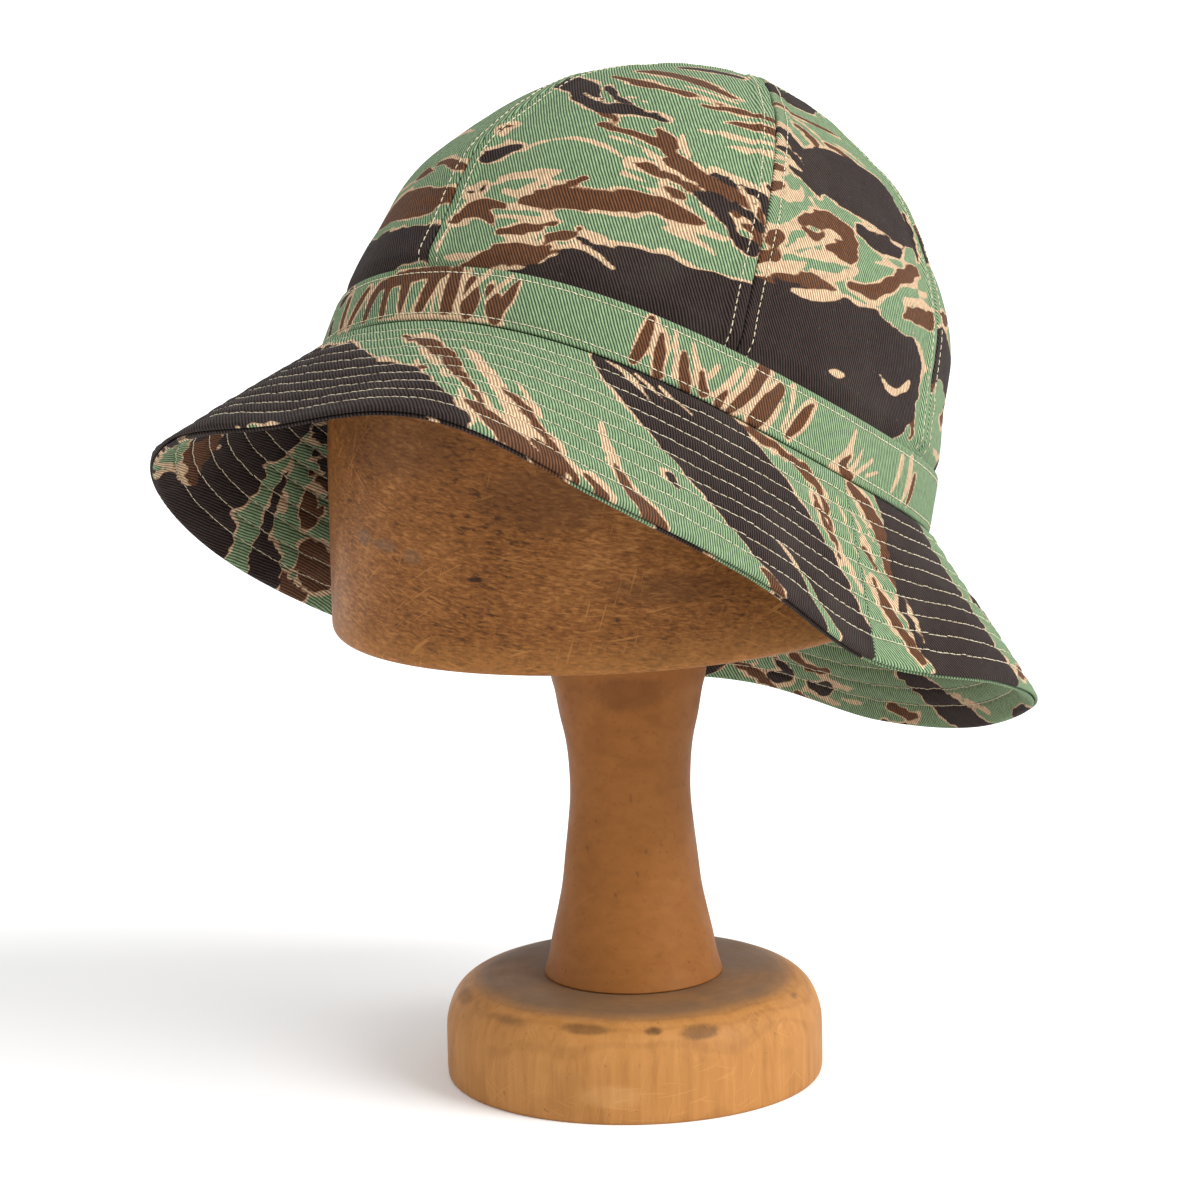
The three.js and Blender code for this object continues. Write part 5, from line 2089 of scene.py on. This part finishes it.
WOOD_FINISHES = {
    "base": WoodFinish(
        "pale_turned_wood",
        (100, 62, 30),
        (166, 115, 62),
        (194, 142, 84),
        (620, 620, 45),
        fibre=0.3,
        cloud=0.3,
        rings=1500.0,
        top_height=29.6 * MM,
        top_tone=(104, 84, 66),
        marks=(
            ((0.0266, -0.0481, 0.0285), (0.013, 0.013, 0.0022), 0.6, (84, 58, 36)),
            ((0.0429, -0.0344, 0.0285), (0.005, 0.005, 0.0022), 0.75, (66, 46, 30)),
            ((0.0505, -0.0219, 0.027), (0.01, 0.01, 0.0034), 0.6, (72, 50, 32)),
            ((0.0503, 0.0227, 0.029), (0.005, 0.005, 0.002), 0.6, (74, 52, 34)),
            ((0.0, -0.056, 0.0285), (0.016, 0.006, 0.003), 0.45, (84, 62, 42)),
            ((-0.03, -0.046, 0.028), (0.012, 0.012, 0.003), 0.4, (88, 64, 44)),
            ((0.036, -0.0465, 0.009), (0.016, 0.016, 0.006), 0.3, (196, 150, 96)),
        ),
    ),
    "stem": WoodFinish(
        "stem_wood",
        (84, 47, 18),
        (136, 85, 38),
        (160, 106, 54),
        (150, 150, 230),
        (0.5, 0.35, 0.0),
        fibre=0.25,
        cloud=0.4,
        mottle=1.4,
        worn=0.12,
        marks=(
            ((0.0139, -0.0136, 0.092), (0.0012, 0.0012, 0.0045), 0.9, (48, 26, 12)),
            ((0.0165, -0.0165, 0.126), (0.02, 0.02, 0.009), 0.4, (84, 46, 20)),
            ((0.026, -0.008, 0.052), (0.003, 0.003, 0.0015), 0.7, (60, 34, 18)),
            ((0.014, -0.02, 0.068), (0.0016, 0.0016, 0.0012), 0.8, (56, 32, 16)),
        ),
    ),
    "block": WoodFinish(
        "worn_block_wood",
        (60, 33, 12),
        (124, 76, 34),
        (166, 112, 60),
        (300, 300, 1050),
        (0.12, -0.1, 0.0),
        fibre=1.1,
        cloud=0.65,
        mottle=1.7,
        worn=0.6,
        marks=(
            # A lighter band along the block's foot: painted light below the brim's shade.
            ((0.0, 0.0, 0.147), (0.22, 0.22, 0.02), 0.35, (168, 116, 62)),
            ((0.0294, -0.0912, 0.176), (0.0042, 0.0042, 0.0013), 0.9, (34, 20, 12)),
            ((-0.012, -0.097, 0.184), (0.006, 0.006, 0.004), 0.4, (84, 78, 70)),
            ((-0.002, -0.098, 0.183), (0.009, 0.009, 0.003), 0.35, (88, 80, 70)),
            ((0.009, -0.097, 0.181), (0.006, 0.006, 0.004), 0.3, (88, 80, 70)),
            # Broad dark patches high on the block, under the brim: painted shade.
            ((0.07, -0.05, 0.172), (0.035, 0.035, 0.007), 0.4, (76, 44, 20)),
            ((0.05, -0.08, 0.2), (0.045, 0.03, 0.016), 0.45, (78, 46, 22)),
            ((0.0, -0.098, 0.215), (0.05, 0.03, 0.018), 0.4, (82, 50, 26)),
        ),
    ),
}


def make_finishes() -> dict[str, Material]:
    """Makes every material of the object, by name."""
    weave, dyes, wood = twill_group(), print_group(), wood_group()
    made = {name: finish.material(weave, dyes) for name, finish in CLOTH_FINISHES.items()}
    made |= {name: finish.material(wood) for name, finish in WOOD_FINISHES.items()}
    made["thread"] = ThreadFinish().material()
    return made


# The studio


@dataclass(frozen=True)
class Studio:
    """Pale floor, soft light and the camera, at the photograph's angle. The focal length is in
    pixels of the image, the lens's sensor in mm."""

    azimuth: float = 45.537 * RAD
    elevation: float = 12.46 * RAD
    distance: float = 1.7306
    focal: float = 5627.18
    image: int = 1200
    sensor: float = 36.0
    roll: float = -1.099 * RAD
    aim_side: float = -8.25 * MM
    aim_height: float = 150.5 * MM
    clip: tuple = (0.05, 60.0)
    floor_reach: float = 8.0
    floor_tones: tuple = ((0.95, 0.95, 0.95, 1), (0.97, 0.97, 0.97, 1))
    sky: float = 0.96
    sun: float = 3.2
    sun_spread: float = 35 * RAD
    sun_turn: tuple = (54 * RAD, 0.0, 108 * RAD)

    def add_camera(self) -> None:
        """Sets the scene's camera, whose view of one sensor's width gives the image's frame."""
        a, e = self.azimuth, self.elevation
        back = Vector((math.sin(a) * math.cos(e), -math.cos(a) * math.cos(e), math.sin(e)))
        right = Vector((math.cos(a), math.sin(a), 0))
        up = back.cross(right)
        eye = right * self.aim_side + Vector((0, 0, self.aim_height)) + back * self.distance
        side = right * math.cos(self.roll) + up * math.sin(self.roll)
        top = up * math.cos(self.roll) - right * math.sin(self.roll)
        lens = bpy.data.cameras.new("camera")
        lens.sensor_width, lens.sensor_fit = self.sensor, "HORIZONTAL"
        lens.lens = self.sensor * self.focal / self.image
        lens.clip_start, lens.clip_end = self.clip
        camera = bpy.data.objects.new("camera", lens)
        camera.matrix_world = Matrix((side, top, back)).transposed().to_4x4()
        camera.location = eye
        bpy.context.scene.collection.objects.link(camera)
        bpy.context.scene.camera = camera

    def add_light(self) -> None:
        """A white sky and one soft sun from the right."""
        scene = bpy.context.scene
        scene.view_settings.view_transform = "Standard"
        world = bpy.data.worlds.new("studio")
        world.use_nodes = True
        world.node_tree.nodes["Background"].inputs["Color"].default_value = (1, 1, 1, 1)
        world.node_tree.nodes["Background"].inputs["Strength"].default_value = self.sky
        scene.world = world
        sun = bpy.data.lights.new("sun", "SUN")
        sun.energy, sun.angle = self.sun, self.sun_spread
        lamp = bpy.data.objects.new("sun", sun)
        lamp.rotation_euler = self.sun_turn
        scene.collection.objects.link(lamp)

    def add_floor(self) -> None:
        """A plain pale floor."""
        corners = np.array([[-1, -1, 0], [1, -1, 0], [1, 1, 0], [-1, 1, 0]]) * self.floor_reach
        mesh = bpy.data.meshes.new("floor")
        mesh.from_pydata(corners.tolist(), [], [[0, 1, 2, 3]])
        floor = bpy.data.objects.new("floor", mesh)
        bpy.context.scene.collection.objects.link(floor)
        material, graph, shader = new_material("floor_paint")
        place = graph.add("TexCoord").outputs["Object"]
        color = graph.mix(graph.noise(place, 3.0), *self.floor_tones)
        graph.fill(shader, {"Base Color": color, "Roughness": 0.9, "Specular IOR Level": 0.1})
        mesh.materials.append(material)


# Putting it together


@dataclass(frozen=True)
class Hat:
    """The soft hat: six crown panels, the band, four brim layers and their stitching. Cuts are
    the sizes of the flat cloth, and areas its areas; nothing reads them."""

    form: HatForm
    finishes: dict[str, Material]
    brim_stitch: float = 2.8 * MM
    seam_stitch: float = 2.35 * MM
    band_stitch: float = 2.4 * MM
    panel_cut: tuple = (0.107, 0.16)
    panel_area: float = 0.0119
    band_cut: tuple = (0.613, 0.0187)
    brim_cut: tuple = (0.361, 0.133)
    brim_area: float = 0.0226

    def build(self) -> None:
        """Builds and dresses every piece of the hat."""
        panels = [CrownPanel(self.form, number, cloth) for number, cloth in enumerate(CROWN_PRINTS)]
        for panel in panels:
            piece = panel.build()
            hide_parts(f"crown_panel_{panel.number + 1}")
            dress(piece, self.finishes["crown"], "cloth")
        self.add_band()
        for layer in Layer:
            for half in Half:
                self.add_brim(Brim(self.form, layer, half, BRIM_PRINTS[layer, half]))
        seams = np.concatenate([panel.stitches(self.seam_stitch) for panel in panels])
        self.sew(Stitching("crown_stitches", self.seam_stitch), seams)

    def add_band(self) -> None:
        """Adds the band, sewn round the panels, and its two rows of stitches."""
        band = HatBand(self.form, BAND_PRINT)
        piece = band.build()
        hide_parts("hat_band")
        dress(piece, self.finishes["band"], "cloth")
        thread = Stitching("band_stitches", self.band_stitch, cover=0.9)
        rows = self.sew(thread, band.stitches(self.band_stitch))

    def add_brim(self, brim: Brim) -> None:
        """Adds one layer of one half of the brim, and its rows of stitches."""
        half, under = brim.half.name.lower(), brim.layer is Layer.UNDER
        piece = brim.build()
        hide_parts(f"brim_{brim.layer.value}_{half}")
        dress(piece, self.finishes[f"brim_{half}"], "under_cloth" if under else "cloth")
        name = f"{brim.name.removesuffix('_cloth')}_stitches"
        thread = Stitching(name, self.brim_stitch, 0.31 * MM, cover=1.0, arch=0.14 * MM)
        rows = self.sew(thread, brim.stitches(self.brim_stitch))

    def sew(self, thread: Stitching, frames: Array) -> Piece:
        """Makes rows of stitches and dresses them."""
        return dress(thread.build(frames), self.finishes["thread"], "stitch_thread")


def dress(piece: Piece, material: Material, slot: str) -> Piece:
    """Gives a piece its finish, logs its slot and lets it ride on the stand.

    Args:
        piece: the new piece.
        material: its finish.
        slot: the slot's name, which is logged.

    Returns:
        The piece.
    """
    piece.data.materials.clear()
    piece.data.materials.append(material)
    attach(piece, "root")
    count = sum(len(face.vertices) - 2 for face in piece.data.polygons)
    LOG.info("%s: %d triangles, slot %s", piece.name, count, slot)
    return piece


def main() -> None:
    """Loads the frame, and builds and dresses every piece."""
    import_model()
    stand = Stand()
    form = HatForm(stand.block_bottom)
    finishes = make_finishes()
    Hat(form, finishes).build()
    for piece, node, finish, slot in (
        (stand.base(), "stand_base", "base", "pale_wood"),
        (stand.stem(), "stand_stem", "stem", "pale_wood"),
        (stand.block(form), "hat_block", "block", "dark_wood"),
    ):
        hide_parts(node)
        dress(piece, finishes[finish], slot)
    studio = Studio()
    studio.add_camera()
    studio.add_light()
    studio.add_floor()


if __name__ == "__main__":
    logging.basicConfig(level=logging.INFO, format="%(message)s")
    main()
